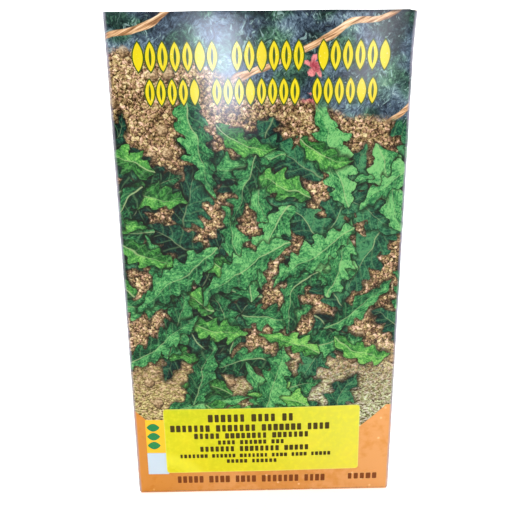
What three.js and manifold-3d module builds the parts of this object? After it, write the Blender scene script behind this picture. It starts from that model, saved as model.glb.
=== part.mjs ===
// A 500 g seed carton: one printed, creased and glued board blank that stands on its bottom, closed by a
// tuck lid over two dust flaps, with a paper label on its front and a film bag of small seeds inside.
// Millimetres, +Z up. The front panel faces -Y, the lid is creased to the back panel, and the origin is
// the middle of the bottom face.
import * as THREE from "three";
import { mergeVertices } from "three/addons/utils/BufferGeometryUtils.js";
import Module from "manifold-3d";

const wasm = await Module();
wasm.setup();

// Driving dimensions of the carton
const WIDTH = 106;
const DEPTH = 70;
const HEIGHT = 190;
const BOARD = 0.6; // thickness of the board
const FOLD_R = 1.4; // outside radius of the upright folds
const PLAY = 0.3; // clearance between boards that lie on each other or turn past each other
const CREASE_GAP = 0.45; // between two boards that turn about a crease
const GLUE_LINE = 0.1;

// How far the full bag pushes the middle of each panel out
const FRONT_BULGE = 1.6;
const SIDE_BULGE = 0.9;
const BULGE_RISE = 0.8; // below 1 moves the fullest point below mid height

// Flaps
const GLUE_FLAP = 14;
const TUCK_LENGTH = 15;
const TUCK_CURL = 0.0115; // inset of the tuck flap per square millimetre of its length
const TUCK_CORNER_R = 8;
const TUCK_SIDE_GAP = 2.5;
const LID_SIDE_GAP = 0.9;
const LID_CORNER = 1.5;
const DUST_LENGTH = 33;
const DUST_FRONT_GAP = 5; // from the front face to the dust flap's front end
const DUST_BACK_GAP = 2.4; // from the face of the panel that carries the lid
const DUST_BACK_TAPER = 0.47; // cut back per millimetre of length, so that the lid can lead it up
const DUST_FRONT_TAPER = 0.14;
const DUST_CORNER_R = 3;

// Label
const LABEL_WIDTH = 80;
const LABEL_HEIGHT = 30;
const LABEL_THICKNESS = 0.2;
const LABEL_GAP = 0.08;
const LABEL_X = -0.6;
const LABEL_Z = 25.4;
const LABEL_TURN = THREE.MathUtils.degToRad(0.5);

// Bag and seeds
const BAG_HALF_WIDTH = 51.2;
const BAG_HALF_DEPTH = 33.1;
const BAG_Y = -0.6; // the bag's middle, a little forward of the bottom tuck flap
const BAG_CORNER_R = 9;
const FILM = 0.3;
const FILM_GAP = 0.3;
const SEED_HEIGHT = 168;
const FIN = { width: 94, depth: 13, height: 0.9, y: -9, reach: 40 };
const VENT = { x: 20, y: 6, r: 1.5, depth: 6 };

// Mesh fineness
const FOLD_STEPS = 4;
const HEIGHT_STEPS = 12;
const FRONT_STEPS = 8;
const SIDE_STEPS = 4;
const SMALL = 0.01;

// Derived places
const FRONT_Y = -DEPTH / 2;
const BACK_Y = DEPTH / 2;
const LID_AXIS = { y: BACK_Y - BOARD / 2, z: HEIGHT - BOARD / 2 };
const TUCK_AXIS = { y: FRONT_Y + BOARD + PLAY + BOARD / 2, z: HEIGHT - BOARD / 2 };
const DUST_AXIS = { x: WIDTH / 2 - BOARD / 2, z: HEIGHT - BOARD - PLAY - BOARD / 2 };
const BOTTOM_DUST_Z = BOARD + PLAY; // underside of the bottom dust flaps
const BAG_FLOOR = BOTTOM_DUST_Z + BOARD + PLAY;
const FILL_LOW = BAG_FLOOR + FILM + FILM_GAP;

const printed = (name, color, roughness) =>
  Object.assign(new THREE.MeshStandardMaterial({ color, roughness, metalness: 0 }), { name });
const boardPrint = printed("board_print", 0x5f7a45, 0.35);
const boardBack = printed("board_back", 0xc9c0ae, 0.8);
const labelPaper = printed("label_paper", 0xf4e02c, 0.5);
const clearFilm = printed("clear_film", 0xdfe4e6, 0.15);
const seedCoat = printed("seed_coat", 0xa88a5e, 0.75);

// The share of a panel's full bulge at height z: nothing at both ends, most a little below the middle.
function bulgeShare(z) {
  const t = THREE.MathUtils.clamp(z / HEIGHT, 0, 1);
  return Math.sin(Math.PI * Math.pow(t, BULGE_RISE));
}

// How far the front or back panel stands out at x and height z.
function faceBulge(x, z) {
  const s = x / (WIDTH / 2 - FOLD_R);
  return FRONT_BULGE * Math.max(0, 1 - s * s) * bulgeShare(z);
}

// How far a side panel stands out at y and height z.
function sideBulge(y, z) {
  const s = y / (DEPTH / 2 - FOLD_R);
  return SIDE_BULGE * Math.max(0, 1 - s * s) * bulgeShare(z);
}

// Moves every vertex of a geometry through a function of its x, y and z.
function reshape(geometry, move) {
  const p = geometry.getAttribute("position");
  const v = new THREE.Vector3();
  for (let i = 0; i < p.count; i++) {
    v.fromBufferAttribute(p, i);
    move(v);
    p.setXYZ(i, v.x, v.y, v.z);
  }
  geometry.computeVertexNormals();
  return geometry;
}

// A closed geometry as a manifold-3d solid, and back.
function toSolid(geometry) {
  const bare = geometry.index ? geometry.toNonIndexed() : geometry.clone();
  bare.deleteAttribute("normal");
  bare.deleteAttribute("uv");
  const merged = mergeVertices(bare, 1e-4);
  return new wasm.Manifold(
    new wasm.Mesh({
      numProp: 3,
      vertProperties: merged.attributes.position.array,
      triVerts: new Uint32Array(merged.index.array),
    }),
  );
}

function toGeometry(solid) {
  const mesh = solid.getMesh();
  const geometry = new THREE.BufferGeometry();
  geometry.setAttribute("position", new THREE.Float32BufferAttribute(mesh.vertProperties, 3));
  geometry.setIndex(new THREE.Uint32BufferAttribute(mesh.triVerts, 1));
  geometry.computeVertexNormals();
  return geometry;
}

function named(name, geometry, material) {
  const mesh = new THREE.Mesh(geometry, material);
  mesh.name = name;
  return mesh;
}

// Points along the board's middle line, seen from above, from the right panel's raw back edge round the
// front and back to the glue flap, which lies inside the right panel. Each has its outward normal.
function boardLine() {
  const line = [];
  const half = BOARD / 2;
  const midR = FOLD_R - half;
  const faceRun = (x0, x1, y, ny) => {
    for (let i = 0; i < FRONT_STEPS; i++) {
      line.push({ x: x0 + ((x1 - x0) * i) / FRONT_STEPS, y, nx: 0, ny });
    }
  };
  const sideRun = (x, stations, nx) => {
    for (const y of stations) line.push({ x, y, nx, ny: 0 });
  };
  const fold = (cx, cy, from) => {
    for (let i = 0; i < FOLD_STEPS; i++) {
      const a = from - (i / FOLD_STEPS) * (Math.PI / 2);
      const nx = Math.cos(a);
      const ny = Math.sin(a);
      line.push({ x: cx + midR * nx, y: cy + midR * ny, nx, ny });
    }
  };
  const x = WIDTH / 2 - half;
  const y = DEPTH / 2 - half;
  const foldX = WIDTH / 2 - FOLD_R;
  const foldY = DEPTH / 2 - FOLD_R;
  const glueX = x - BOARD - GLUE_LINE;
  sideRun(x, [y, ...sideStations().reverse()], 1);
  fold(foldX, -foldY, 0);
  faceRun(foldX, -foldX, -y, -1);
  fold(-foldX, -foldY, -Math.PI / 2);
  sideRun(-x, [-foldY, ...sideStations()], -1);
  fold(-foldX, foldY, Math.PI);
  faceRun(-foldX, glueX - midR, y, 1);
  fold(glueX - midR, foldY, Math.PI / 2);
  sideRun(glueX, [foldY, foldY - GLUE_FLAP / 2, foldY - GLUE_FLAP], 1);
  return line;
}

// The places along a side panel where its ends step down to a dust flap's crease, near the panel that
// carries the lid and near the one that the lid tucks into, with some even places between them.
function sideStations() {
  const nearLid = BACK_Y - DUST_BACK_GAP + PLAY;
  const nearTuck = BACK_Y - DUST_FRONT_GAP + PLAY;
  const steps = [nearTuck, nearTuck + PLAY, nearLid, nearLid + PLAY];
  const even = Array.from(
    { length: SIDE_STEPS - 1 },
    (_, i) => nearTuck * (-1 + (2 * (i + 1)) / SIDE_STEPS),
  );
  return [...steps.map((s) => -s).reverse(), ...even, ...steps];
}

// The heights at which the wall ends at a place on its outline. Raw edges and lid creases end at the
// carton's full height less what lies over them, and the dust flaps' creases a little lower.
function wallEnds(x, y) {
  const dustLow = BOTTOM_DUST_Z + BOARD + GLUE_LINE;
  const dustHigh = DUST_AXIS.z - BOARD / 2 - PLAY;
  const inGlueFlap = x > WIDTH / 2 - 2 * BOARD - GLUE_LINE - SMALL && x < WIDTH / 2 - BOARD - SMALL;
  if (inGlueFlap && y > 0) return { low: dustLow, high: dustHigh };
  const nearLid = BACK_Y - DUST_BACK_GAP + 2 * PLAY - SMALL;
  const nearTuck = BACK_Y - DUST_FRONT_GAP + 2 * PLAY - SMALL;
  const low = y < -nearLid ? BOARD + GLUE_LINE : y > nearTuck ? 0 : dustLow;
  const high = y < -nearTuck ? HEIGHT : y > nearLid ? LID_AXIS.z - BOARD / 2 - PLAY : dustHigh;
  return { low, high };
}

// The board bent along its line, with an outer and an inner skin of quads that are closed at the top, the
// bottom and both raw ends.
function cartonWalls() {
  const half = BOARD / 2;
  const line = boardLine();
  const foldX = WIDTH / 2 - FOLD_R;
  const foldY = DEPTH / 2 - FOLD_R;
  const positions = [];
  for (const side of [half, -half]) {
    for (const p of line) {
      const x = p.x + p.nx * side;
      const y = p.y + p.ny * side;
      const { low, high } = wallEnds(x, y);
      for (let row = 0; row <= HEIGHT_STEPS; row++) {
        const z = low + ((high - low) * row) / HEIGHT_STEPS;
        const onFace = Math.abs(y) > foldY + SMALL;
        const onSide = !onFace && Math.abs(x) > foldX + SMALL;
        const outX = onSide ? Math.sign(x) * sideBulge(y, z) : 0;
        const outY = onFace ? Math.sign(y) * faceBulge(x, z) : 0;
        positions.push(x + outX, y + outY, z);
      }
    }
  }
  const rows = HEIGHT_STEPS + 1;
  const last = line.length - 1;
  const outer = (i, row) => i * rows + row;
  const inner = (i, row) => (line.length + i) * rows + row;
  const index = [];
  const quad = (a, b, c, d) => index.push(a, b, c, a, c, d);
  for (let i = 0; i < last; i++) {
    for (let row = 0; row < HEIGHT_STEPS; row++) {
      quad(outer(i, row), outer(i, row + 1), outer(i + 1, row + 1), outer(i + 1, row));
      quad(inner(i, row), inner(i + 1, row), inner(i + 1, row + 1), inner(i, row + 1));
    }
    quad(outer(i, 0), outer(i + 1, 0), inner(i + 1, 0), inner(i, 0));
    quad(outer(i, HEIGHT_STEPS), inner(i, HEIGHT_STEPS), inner(i + 1, HEIGHT_STEPS), outer(i + 1, HEIGHT_STEPS));
  }
  for (let row = 0; row < HEIGHT_STEPS; row++) {
    quad(outer(0, row), inner(0, row), inner(0, row + 1), outer(0, row + 1));
    quad(outer(last, row), outer(last, row + 1), inner(last, row + 1), inner(last, row));
  }
  const geometry = new THREE.BufferGeometry();
  geometry.setAttribute("position", new THREE.Float32BufferAttribute(positions, 3));
  geometry.setIndex(index);
  geometry.computeVertexNormals();
  return named("carton_walls", geometry, boardPrint);
}

// A flat board from its outline seen from above, with its underside at height z.
function boardPlate(name, outline, z, material) {
  const geometry = new THREE.ExtrudeGeometry(new THREE.Shape(outline), {
    depth: BOARD,
    bevelEnabled: false,
    curveSegments: 4,
  });
  const mesh = named(name, geometry, material);
  mesh.position.z = z;
  return mesh;
}

function lid() {
  const x = WIDTH / 2 - LID_SIDE_GAP;
  const front = TUCK_AXIS.y + BOARD / 2 + CREASE_GAP;
  const outline = [
    new THREE.Vector2(-x, front + LID_CORNER),
    new THREE.Vector2(-x + LID_CORNER, front),
    new THREE.Vector2(x - LID_CORNER, front),
    new THREE.Vector2(x, front + LID_CORNER),
    new THREE.Vector2(x, BACK_Y),
    new THREE.Vector2(-x, BACK_Y),
  ];
  return boardPlate("lid", outline, HEIGHT - BOARD, boardPrint);
}

// A curled strip of board as a solid run along X. The strip's middle line leaves (0, 0) downwards and
// bends towards +Y by curl times the square of its length.
function curledStrip(width, length, curl) {
  const steps = 5;
  const half = BOARD / 2;
  const side = (sign) =>
    Array.from({ length: steps + 1 }, (_, i) => {
      const r = -half + ((length + half) * i) / steps;
      const inset = r > 0 ? curl * r * r : 0;
      return new THREE.Vector2(inset + sign * half, -r);
    });
  const outline = [...side(-1), ...side(1).reverse()];
  const geometry = new THREE.ExtrudeGeometry(new THREE.Shape(outline), {
    depth: width,
    bevelEnabled: false,
  });
  // The profile's plane becomes the Y-Z plane, and its depth runs along X.
  return reshape(geometry, (v) => v.set(v.z - width / 2, v.x, v.y));
}

// A block across the strip whose two lower corners are round, to trim a tuck flap to its outline.
function roundedTrim(width, length) {
  const x = width / 2;
  const shape = new THREE.Shape()
    .moveTo(-x, BOARD)
    .lineTo(-x, -length + TUCK_CORNER_R)
    .absarc(-x + TUCK_CORNER_R, -length + TUCK_CORNER_R, TUCK_CORNER_R, Math.PI, Math.PI * 1.5)
    .lineTo(x - TUCK_CORNER_R, -length)
    .absarc(x - TUCK_CORNER_R, -length + TUCK_CORNER_R, TUCK_CORNER_R, Math.PI * 1.5, 0)
    .lineTo(x, BOARD);
  const thick = 20;
  const geometry = new THREE.ExtrudeGeometry(shape, {
    depth: thick,
    bevelEnabled: false,
    curveSegments: 5,
  });
  return reshape(geometry, (v) => v.set(v.x, thick / 2 - v.z, v.y));
}

function tuckFlap() {
  const width = WIDTH - 2 * TUCK_SIDE_GAP;
  const strip = toSolid(curledStrip(width + 2, TUCK_LENGTH + 1, TUCK_CURL));
  const trimmed = strip.intersect(toSolid(roundedTrim(width, TUCK_LENGTH)));
  const mesh = named("tuck_flap", toGeometry(trimmed), boardPrint);
  mesh.position.set(0, TUCK_AXIS.y, TUCK_AXIS.z);
  return mesh;
}

// The outline of a dust flap seen from above, with its crease along Y at x = 0 and its length towards +X.
// toLid is the end next to the panel that carries the lid, which is cut back so that the lid leads it.
function dustOutline(toLid, toTuck) {
  const sign = Math.sign(toLid);
  const lidEnd = toLid - sign * DUST_BACK_TAPER * DUST_LENGTH;
  const tuckEnd = toTuck + sign * DUST_FRONT_TAPER * DUST_LENGTH;
  const r = DUST_CORNER_R;
  const shape = new THREE.Shape()
    .moveTo(-BOARD / 2, toLid)
    .lineTo(0, toLid)
    .lineTo(DUST_LENGTH - r, lidEnd + sign * DUST_BACK_TAPER * r)
    .quadraticCurveTo(DUST_LENGTH, lidEnd, DUST_LENGTH, lidEnd - sign * r)
    .lineTo(DUST_LENGTH, tuckEnd + sign * r)
    .quadraticCurveTo(DUST_LENGTH, tuckEnd, DUST_LENGTH - r, tuckEnd - sign * DUST_FRONT_TAPER * r)
    .lineTo(0, toTuck)
    .lineTo(-BOARD / 2, toTuck);
  return shape.getPoints(4);
}

// side is -1 for the left flap and 1 for the right.
function dustFlap(name, side, toLid, toTuck, z) {
  const outline = dustOutline(toLid, toTuck).map(
    (p) => new THREE.Vector2(side * (DUST_AXIS.x - p.x), p.y),
  );
  return boardPlate(name, outline, z, boardBack);
}

// The bottom closure is the lid's twin turned end for end: creased to the front panel, tucked up inside
// the back panel, and glued to the bottom dust flaps. Its tuck flap is narrower than its plate.
function bottomLid() {
  const tuckWidth = WIDTH - 2 * TUCK_SIDE_GAP;
  const inner = BACK_Y - BOARD - PLAY;
  const outline = [
    new THREE.Vector2(FRONT_Y, 0),
    new THREE.Vector2(inner - FOLD_R / 2, 0),
    new THREE.Vector2(inner, FOLD_R / 2),
    new THREE.Vector2(inner, TUCK_LENGTH),
    new THREE.Vector2(inner - BOARD, TUCK_LENGTH),
    new THREE.Vector2(inner - BOARD, BOARD + FOLD_R / 4),
    new THREE.Vector2(inner - BOARD - FOLD_R / 4, BOARD),
    new THREE.Vector2(FRONT_Y, BOARD),
  ];
  const folded = new THREE.ExtrudeGeometry(new THREE.Shape(outline), {
    depth: tuckWidth,
    bevelEnabled: false,
  });
  reshape(folded, (v) => v.set(v.z - tuckWidth / 2, v.x, v.y));
  const plateDepth = inner - FOLD_R - FRONT_Y;
  const plate = new THREE.BoxGeometry(WIDTH - 2 * LID_SIDE_GAP, plateDepth, BOARD);
  plate.translate(0, FRONT_Y + plateDepth / 2, BOARD / 2);
  return named("bottom_lid", toGeometry(toSolid(folded).add(toSolid(plate))), boardPrint);
}

// A paper sticker that follows the bulge of the front panel.
function frontLabel() {
  const w = LABEL_WIDTH / 2;
  const columns = 8;
  const near = Array.from(
    { length: columns + 1 },
    (_, i) => new THREE.Vector2(-w + (LABEL_WIDTH * i) / columns, -LABEL_THICKNESS),
  );
  const far = near.map((p) => new THREE.Vector2(p.x, 0)).reverse();
  const geometry = new THREE.ExtrudeGeometry(new THREE.Shape([...near, ...far]), {
    depth: LABEL_HEIGHT,
    steps: 4,
    bevelEnabled: false,
  });
  reshape(geometry, (v) => {
    const along = v.x;
    const up = v.z - LABEL_HEIGHT / 2;
    const x = LABEL_X + along * Math.cos(LABEL_TURN) - up * Math.sin(LABEL_TURN);
    const z = LABEL_Z + along * Math.sin(LABEL_TURN) + up * Math.cos(LABEL_TURN);
    v.set(x, FRONT_Y - faceBulge(x, z) - LABEL_GAP + v.y, z);
  });
  return named("front_label", geometry, labelPaper);
}

// The bag's form as [share of height, inset of the section]: flat on its floor, full against the walls,
// and drawn in to a low dome on top.
const PILLOW = [
  [0, 7],
  [0.008, 3],
  [0.03, 0.8],
  [0.08, 0],
  [0.35, 0],
  [0.65, 0],
  [0.88, 0.6],
  [0.93, 2.2],
  [0.965, 6],
  [0.985, 12],
  [1, 21],
];

// A pillow from height low to high, grown all round by grow.
function pillow(low, high, grow) {
  const x = BAG_HALF_WIDTH - FILM - FILM_GAP;
  const y = BAG_HALF_DEPTH - FILM - FILM_GAP;
  const r = BAG_CORNER_R;
  const shape = new THREE.Shape()
    .moveTo(-x + r, -y)
    .absarc(x - r, -y + r, r, -Math.PI / 2, 0)
    .absarc(x - r, y - r, r, 0, Math.PI / 2)
    .absarc(-x + r, y - r, r, Math.PI / 2, Math.PI)
    .absarc(-x + r, -y + r, r, Math.PI, Math.PI * 1.5);
  const geometry = new THREE.ExtrudeGeometry(shape, {
    depth: PILLOW.length - 1,
    steps: PILLOW.length - 1,
    bevelEnabled: false,
    curveSegments: 4,
  });
  return reshape(geometry, (v) => {
    const [share, inset] = PILLOW[Math.round(v.z)];
    v.x *= (x + grow - inset) / x;
    v.y = BAG_Y + (v.y * (y + grow - inset)) / y;
    v.z = low - grow + (high - low + 2 * grow) * share;
  });
}

function seeds() {
  return named("seeds", pillow(FILL_LOW, FILL_LOW + SEED_HEIGHT, 0), seedCoat);
}

// A film pillow bag round the seeds. Its sealed top fin is folded forward and lies on the bag, and one
// small vent lets the air out as the bag settles.
function seedBag() {
  const top = FILL_LOW + SEED_HEIGHT;
  const outside = toSolid(pillow(FILL_LOW, top, FILM + FILM_GAP));
  const inside = toSolid(pillow(FILL_LOW, top, FILM_GAP));
  const band = new THREE.BoxGeometry(FIN.width, FIN.depth, FIN.reach);
  band.translate(0, BAG_Y + FIN.y, top);
  const raised = toSolid(pillow(FILL_LOW, top, FILM + FILM_GAP + FIN.height));
  const vent = new THREE.CylinderGeometry(VENT.r, VENT.r, VENT.depth, 12).rotateX(Math.PI / 2);
  vent.translate(VENT.x, BAG_Y + VENT.y, top);
  const film = outside.add(raised.intersect(toSolid(band))).subtract(inside);
  return named("seed_bag", toGeometry(film.subtract(toSolid(vent))), clearFilm);
}

const carton = new THREE.Group();
carton.add(cartonWalls());

const bottom = new THREE.Group();
const bottomToLid = FRONT_Y + DUST_BACK_GAP;
const bottomToTuck = BACK_Y - DUST_FRONT_GAP;
bottom.add(
  bottomLid(),
  dustFlap("bottom_dust_flap_left", -1, bottomToLid, bottomToTuck, BOTTOM_DUST_Z),
  dustFlap("bottom_dust_flap_right", 1, bottomToLid, bottomToTuck, BOTTOM_DUST_Z),
);

const top = new THREE.Group();
const topToLid = BACK_Y - DUST_BACK_GAP;
const topToTuck = FRONT_Y + DUST_FRONT_GAP;
const topDustZ = DUST_AXIS.z - BOARD / 2;
top.add(
  lid(),
  tuckFlap(),
  dustFlap("dust_flap_left", -1, topToLid, topToTuck, topDustZ),
  dustFlap("dust_flap_right", 1, topToLid, topToTuck, topDustZ),
);

const contents = new THREE.Group();
contents.add(seeds(), seedBag());

const seedCarton = new THREE.Group();
seedCarton.add(carton, bottom, top, contents, frontLabel());

export default seedCarton;
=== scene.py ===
# A carton of loose seeds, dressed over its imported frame: printed and varnished board with worn folds, a
# paper label, printing inks, a film bag and the seeds in it. Shapes are worked out in millimetres, +Z up,
# with the front facing -Y, and made in metres.
import math

import bpy
import numpy as np
from mathutils import Matrix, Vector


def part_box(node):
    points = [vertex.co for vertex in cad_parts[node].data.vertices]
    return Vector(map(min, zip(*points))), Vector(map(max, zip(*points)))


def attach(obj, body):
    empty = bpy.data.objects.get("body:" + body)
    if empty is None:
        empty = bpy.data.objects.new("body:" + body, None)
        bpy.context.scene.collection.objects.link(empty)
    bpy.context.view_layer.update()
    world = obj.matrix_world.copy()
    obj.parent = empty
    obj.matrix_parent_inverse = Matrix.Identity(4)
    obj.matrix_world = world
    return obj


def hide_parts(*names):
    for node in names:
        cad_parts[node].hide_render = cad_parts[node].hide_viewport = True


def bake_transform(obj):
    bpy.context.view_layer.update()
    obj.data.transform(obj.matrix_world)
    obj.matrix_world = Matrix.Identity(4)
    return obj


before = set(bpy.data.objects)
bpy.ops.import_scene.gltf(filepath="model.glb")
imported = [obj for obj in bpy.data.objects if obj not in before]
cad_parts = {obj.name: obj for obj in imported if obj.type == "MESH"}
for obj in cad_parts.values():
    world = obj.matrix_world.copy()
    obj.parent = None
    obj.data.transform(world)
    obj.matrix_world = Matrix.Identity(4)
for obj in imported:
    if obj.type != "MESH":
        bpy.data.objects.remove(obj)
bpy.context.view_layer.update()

# The carton's walls are one sheet of folding boxboard: creased, bent round four upright folds, and glued
# by a flap inside the right panel. The full bag inside pushes each panel out, and handling has pushed the
# top corners of the front outwards.
MM = 0.001
walls_low, walls_high = (np.array(corner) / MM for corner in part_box("carton_walls"))
lid_low, lid_high = (np.array(corner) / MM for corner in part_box("lid"))
LID_SIDE_GAP = 0.9
BOARD = lid_high[2] - lid_low[2]
HEIGHT = lid_high[2]
DEPTH = 2 * lid_high[1]
WIDTH = lid_high[0] - lid_low[0] + 2 * LID_SIDE_GAP
FOLD_R = 1.4
FOLD_STATIONS = 7
PLAY = 0.3
GLUE_LINE = 0.1
GLUE_FLAP = 14.0
GLUE_STATIONS = 13  # the walls' last stations, from within the glue flap's fold to its end
NEAR_STEP = 30.6  # how far along the side panel the low edge over a dust flap's crease reaches, one way
FAR_STEP = 33.2  # and the other way
STEP_RUN = 0.3
PRINT_ROOM = 0.9  # share of the frame's bulge that the board takes, so that ink and label stay within it
FRONT_BULGE = PRINT_ROOM * (-walls_low[1] - DEPTH / 2)
SIDE_BULGE = PRINT_ROOM * (walls_high[0] - WIDTH / 2)
BULGE_RISE = 0.8
FLARE_START = 172.0
FLARE_RIGHT = 0.75
FLARE_LEFT = 0.2
BLUNT_DROP = 0.75  # how much of the front's top corner at the right is pressed down
BLUNT_REACH = 1.5
EDGE_WAVE_LOW = 0.1  # how far the front's cut edges stray from straight
EDGE_WAVE_HIGH = 0.08
HAIR = 0.01
WALL_ROWS = 120
FOLD_X = WIDTH / 2 - FOLD_R
FOLD_Y = DEPTH / 2 - FOLD_R


def straight(start, end, normal, count):
    """Evenly spaced points from start up to but not onto end, each with the same outward normal."""
    t = np.linspace(0, 1, count, endpoint=False)[:, None]
    points = np.array(start) + (np.array(end) - np.array(start)) * t
    return np.hstack([points, np.tile(normal, (count, 1))])


def bend(centre, radius, first_deg, turn_deg, count=FOLD_STATIONS):
    """Points round part of a circle, each with its outward normal."""
    angle = np.radians(first_deg + turn_deg * np.linspace(0, 1, count, endpoint=False))
    normal = np.stack([np.cos(angle), np.sin(angle)], 1)
    return np.hstack([np.array(centre) + radius * normal, normal])


def travelled(line):
    """The distance along a line of points from its start to each of them."""
    return np.concatenate([[0], np.cumsum(np.linalg.norm(np.diff(line[:, :2], axis=0), axis=1))])


def placed(x, y, z):
    """Points from coordinates that are spread over one grid."""
    return np.stack(np.broadcast_arrays(x, y, z), -1)


def bulge_share(z):
    """A panel's share of its full bulge at a height: half a sine wave, fullest a little below the middle."""
    return np.sin(np.pi * np.clip(z / HEIGHT, 0, 1) ** BULGE_RISE)


def face_bulge(x, z):
    """How far the front or back stands out: a parabola across, times the share at that height."""
    return FRONT_BULGE * np.clip(1 - (x / FOLD_X) ** 2, 0, None) * bulge_share(z)


def side_bulge(y, z):
    """How far a side stands out: a parabola across, times the share at that height."""
    return SIDE_BULGE * np.clip(1 - (y / FOLD_Y) ** 2, 0, None) * bulge_share(z)


def unevenness(u, z):
    """The board's slow waves of under a tenth of a millimetre: three crossing sine waves."""
    long_wave = np.sin(2 * np.pi * (u / 61 + z / 143) + 0.6)
    cross_wave = np.sin(2 * np.pi * (u / 37 - z / 59) + 2.1)
    short_wave = np.sin(2 * np.pi * (z / 29 + u / 83) + 4.0)
    return 0.045 * (long_wave + 0.7 * cross_wave + 0.5 * short_wave)


def corner_flare(x, y, z):
    """How far the top corners of the front bend outwards: it rises with the square of the height over
    its start, and dies out along the front and the side."""
    rise = np.clip((z - FLARE_START) / 18, 0, 1) ** 2
    near_front = np.exp(-((y + DEPTH / 2) / 9) ** 2)
    near_side = np.clip((np.abs(x) - 30) / 23, 0, 1) ** 2
    return np.sign(x) * np.where(x > 0, FLARE_RIGHT, FLARE_LEFT) * rise * near_front * near_side


def shell(outer, inner):
    """Points and quads that close two like grids into a board: both skins and the raw edges round them.
    The third result tells each quad's side: 0 outer, 1 inner, 2 raw edge."""
    count = outer.shape[0] * outer.shape[1]
    index = np.arange(count).reshape(outer.shape[:2])
    skin = np.stack([index[:-1, :-1], index[1:, :-1], index[1:, 1:], index[:-1, 1:]], -1).reshape(-1, 4)
    border = np.concatenate([index[:, 0], index[-1, 1:], index[-2::-1, -1], index[0, -2:0:-1]])
    following = np.roll(border, -1)
    rim = np.stack([border, border + count, following + count, following], -1)
    points = np.concatenate([outer.reshape(-1, 3), inner.reshape(-1, 3)])
    quads = np.concatenate([skin, (skin + count)[:, ::-1], rim])
    side = np.repeat([0, 1, 2], [len(skin), len(skin), len(rim)])
    return points, quads, side


def make_piece(name, points, faces, materials, side=None, maps=None, sharp_deg=50):
    """A mesh object at the origin from points in millimetres. Its faces are turned to point outwards by
    the sign of the volume that they enclose."""
    mesh = bpy.data.meshes.new(name)
    mesh.from_pydata((points * MM).tolist(), [], [list(map(int, face)) for face in faces])
    for material in materials:
        mesh.materials.append(material)
    if side is not None:
        mesh.polygons.foreach_set("material_index", side.astype(np.int32))
    corner_vertex = np.zeros(len(mesh.loops), np.int32)
    mesh.loops.foreach_get("vertex_index", corner_vertex)
    for map_name, places in (maps or {}).items():
        layer = mesh.uv_layers.new(name=map_name)
        layer.uv.foreach_set("vector", places[corner_vertex].astype(np.float32).ravel())
    mesh.calc_loop_triangles()
    triangles = np.zeros(len(mesh.loop_triangles) * 3, np.int32)
    mesh.loop_triangles.foreach_get("vertices", triangles)
    a, b, c = (points[triangles.reshape(-1, 3)[:, k]] for k in range(3))
    if np.einsum("ij,ij->i", a, np.cross(b, c)).sum() < 0:
        mesh.flip_normals()
    mesh.shade_smooth()
    mesh.set_sharp_from_angle(angle=math.radians(sharp_deg))
    piece = bpy.data.objects.new(name, mesh)
    bpy.context.scene.collection.objects.link(piece)
    return piece


# The stations of the walls go clockwise round the board's outer face, from the raw edge at the right
# panel's back to the end of the glue flap. Near the ends of the low edges they stand close together.
step_ends = np.array([NEAR_STEP - STEP_RUN, NEAR_STEP, FAR_STEP - STEP_RUN, FAR_STEP])
side_y = np.unique(np.concatenate([np.linspace(-FOLD_Y, FOLD_Y, 41)[:-1], step_ends, -step_ends]))
side_up = np.stack([np.full_like(side_y, WIDTH / 2), side_y], 1)
glue_x = WIDTH / 2 - BOARD - GLUE_LINE
line = np.concatenate([
    [[WIDTH / 2, DEPTH / 2 - BOARD / 2, 1.0, 0.0]],
    np.hstack([side_up[::-1], np.tile([1.0, 0.0], (len(side_up), 1))]),
    bend((FOLD_X, -FOLD_Y), FOLD_R, 0, -90),
    straight((FOLD_X, -DEPTH / 2), (-FOLD_X, -DEPTH / 2), (0.0, -1.0), 62),
    bend((-FOLD_X, -FOLD_Y), FOLD_R, -90, -90),
    np.hstack([side_up * [-1, 1], np.tile([-1.0, 0.0], (len(side_up), 1))]),
    bend((-FOLD_X, FOLD_Y), FOLD_R, 180, -90),
    straight((-FOLD_X, DEPTH / 2), (glue_x - FOLD_R, DEPTH / 2), (0.0, 1.0), 60),
    bend((glue_x - FOLD_R, FOLD_Y), FOLD_R, 90, -90),
    straight((glue_x, FOLD_Y), (glue_x, FOLD_Y - GLUE_FLAP), (1.0, 0.0), 8),
    [[glue_x, FOLD_Y - GLUE_FLAP, 1.0, 0.0]],
])
line = line[np.append(True, np.diff(travelled(line)) > 1e-6)]
run_length = travelled(line)
front_start = int(np.argmax((line[:, 0] <= FOLD_X) & (line[:, 1] < -FOLD_Y)))
around = run_length[front_start] + FOLD_X - run_length  # distance round the board from the front's middle
FRONT_FOLD_U = float(FOLD_X + np.pi / 4 * FOLD_R)
BACK_FOLD_U = float(FRONT_FOLD_U + 2 * FOLD_Y + np.pi / 2 * FOLD_R)
BACK_MIDDLE_U = float(-(BACK_FOLD_U + FOLD_X + np.pi / 4 * FOLD_R))

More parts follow.
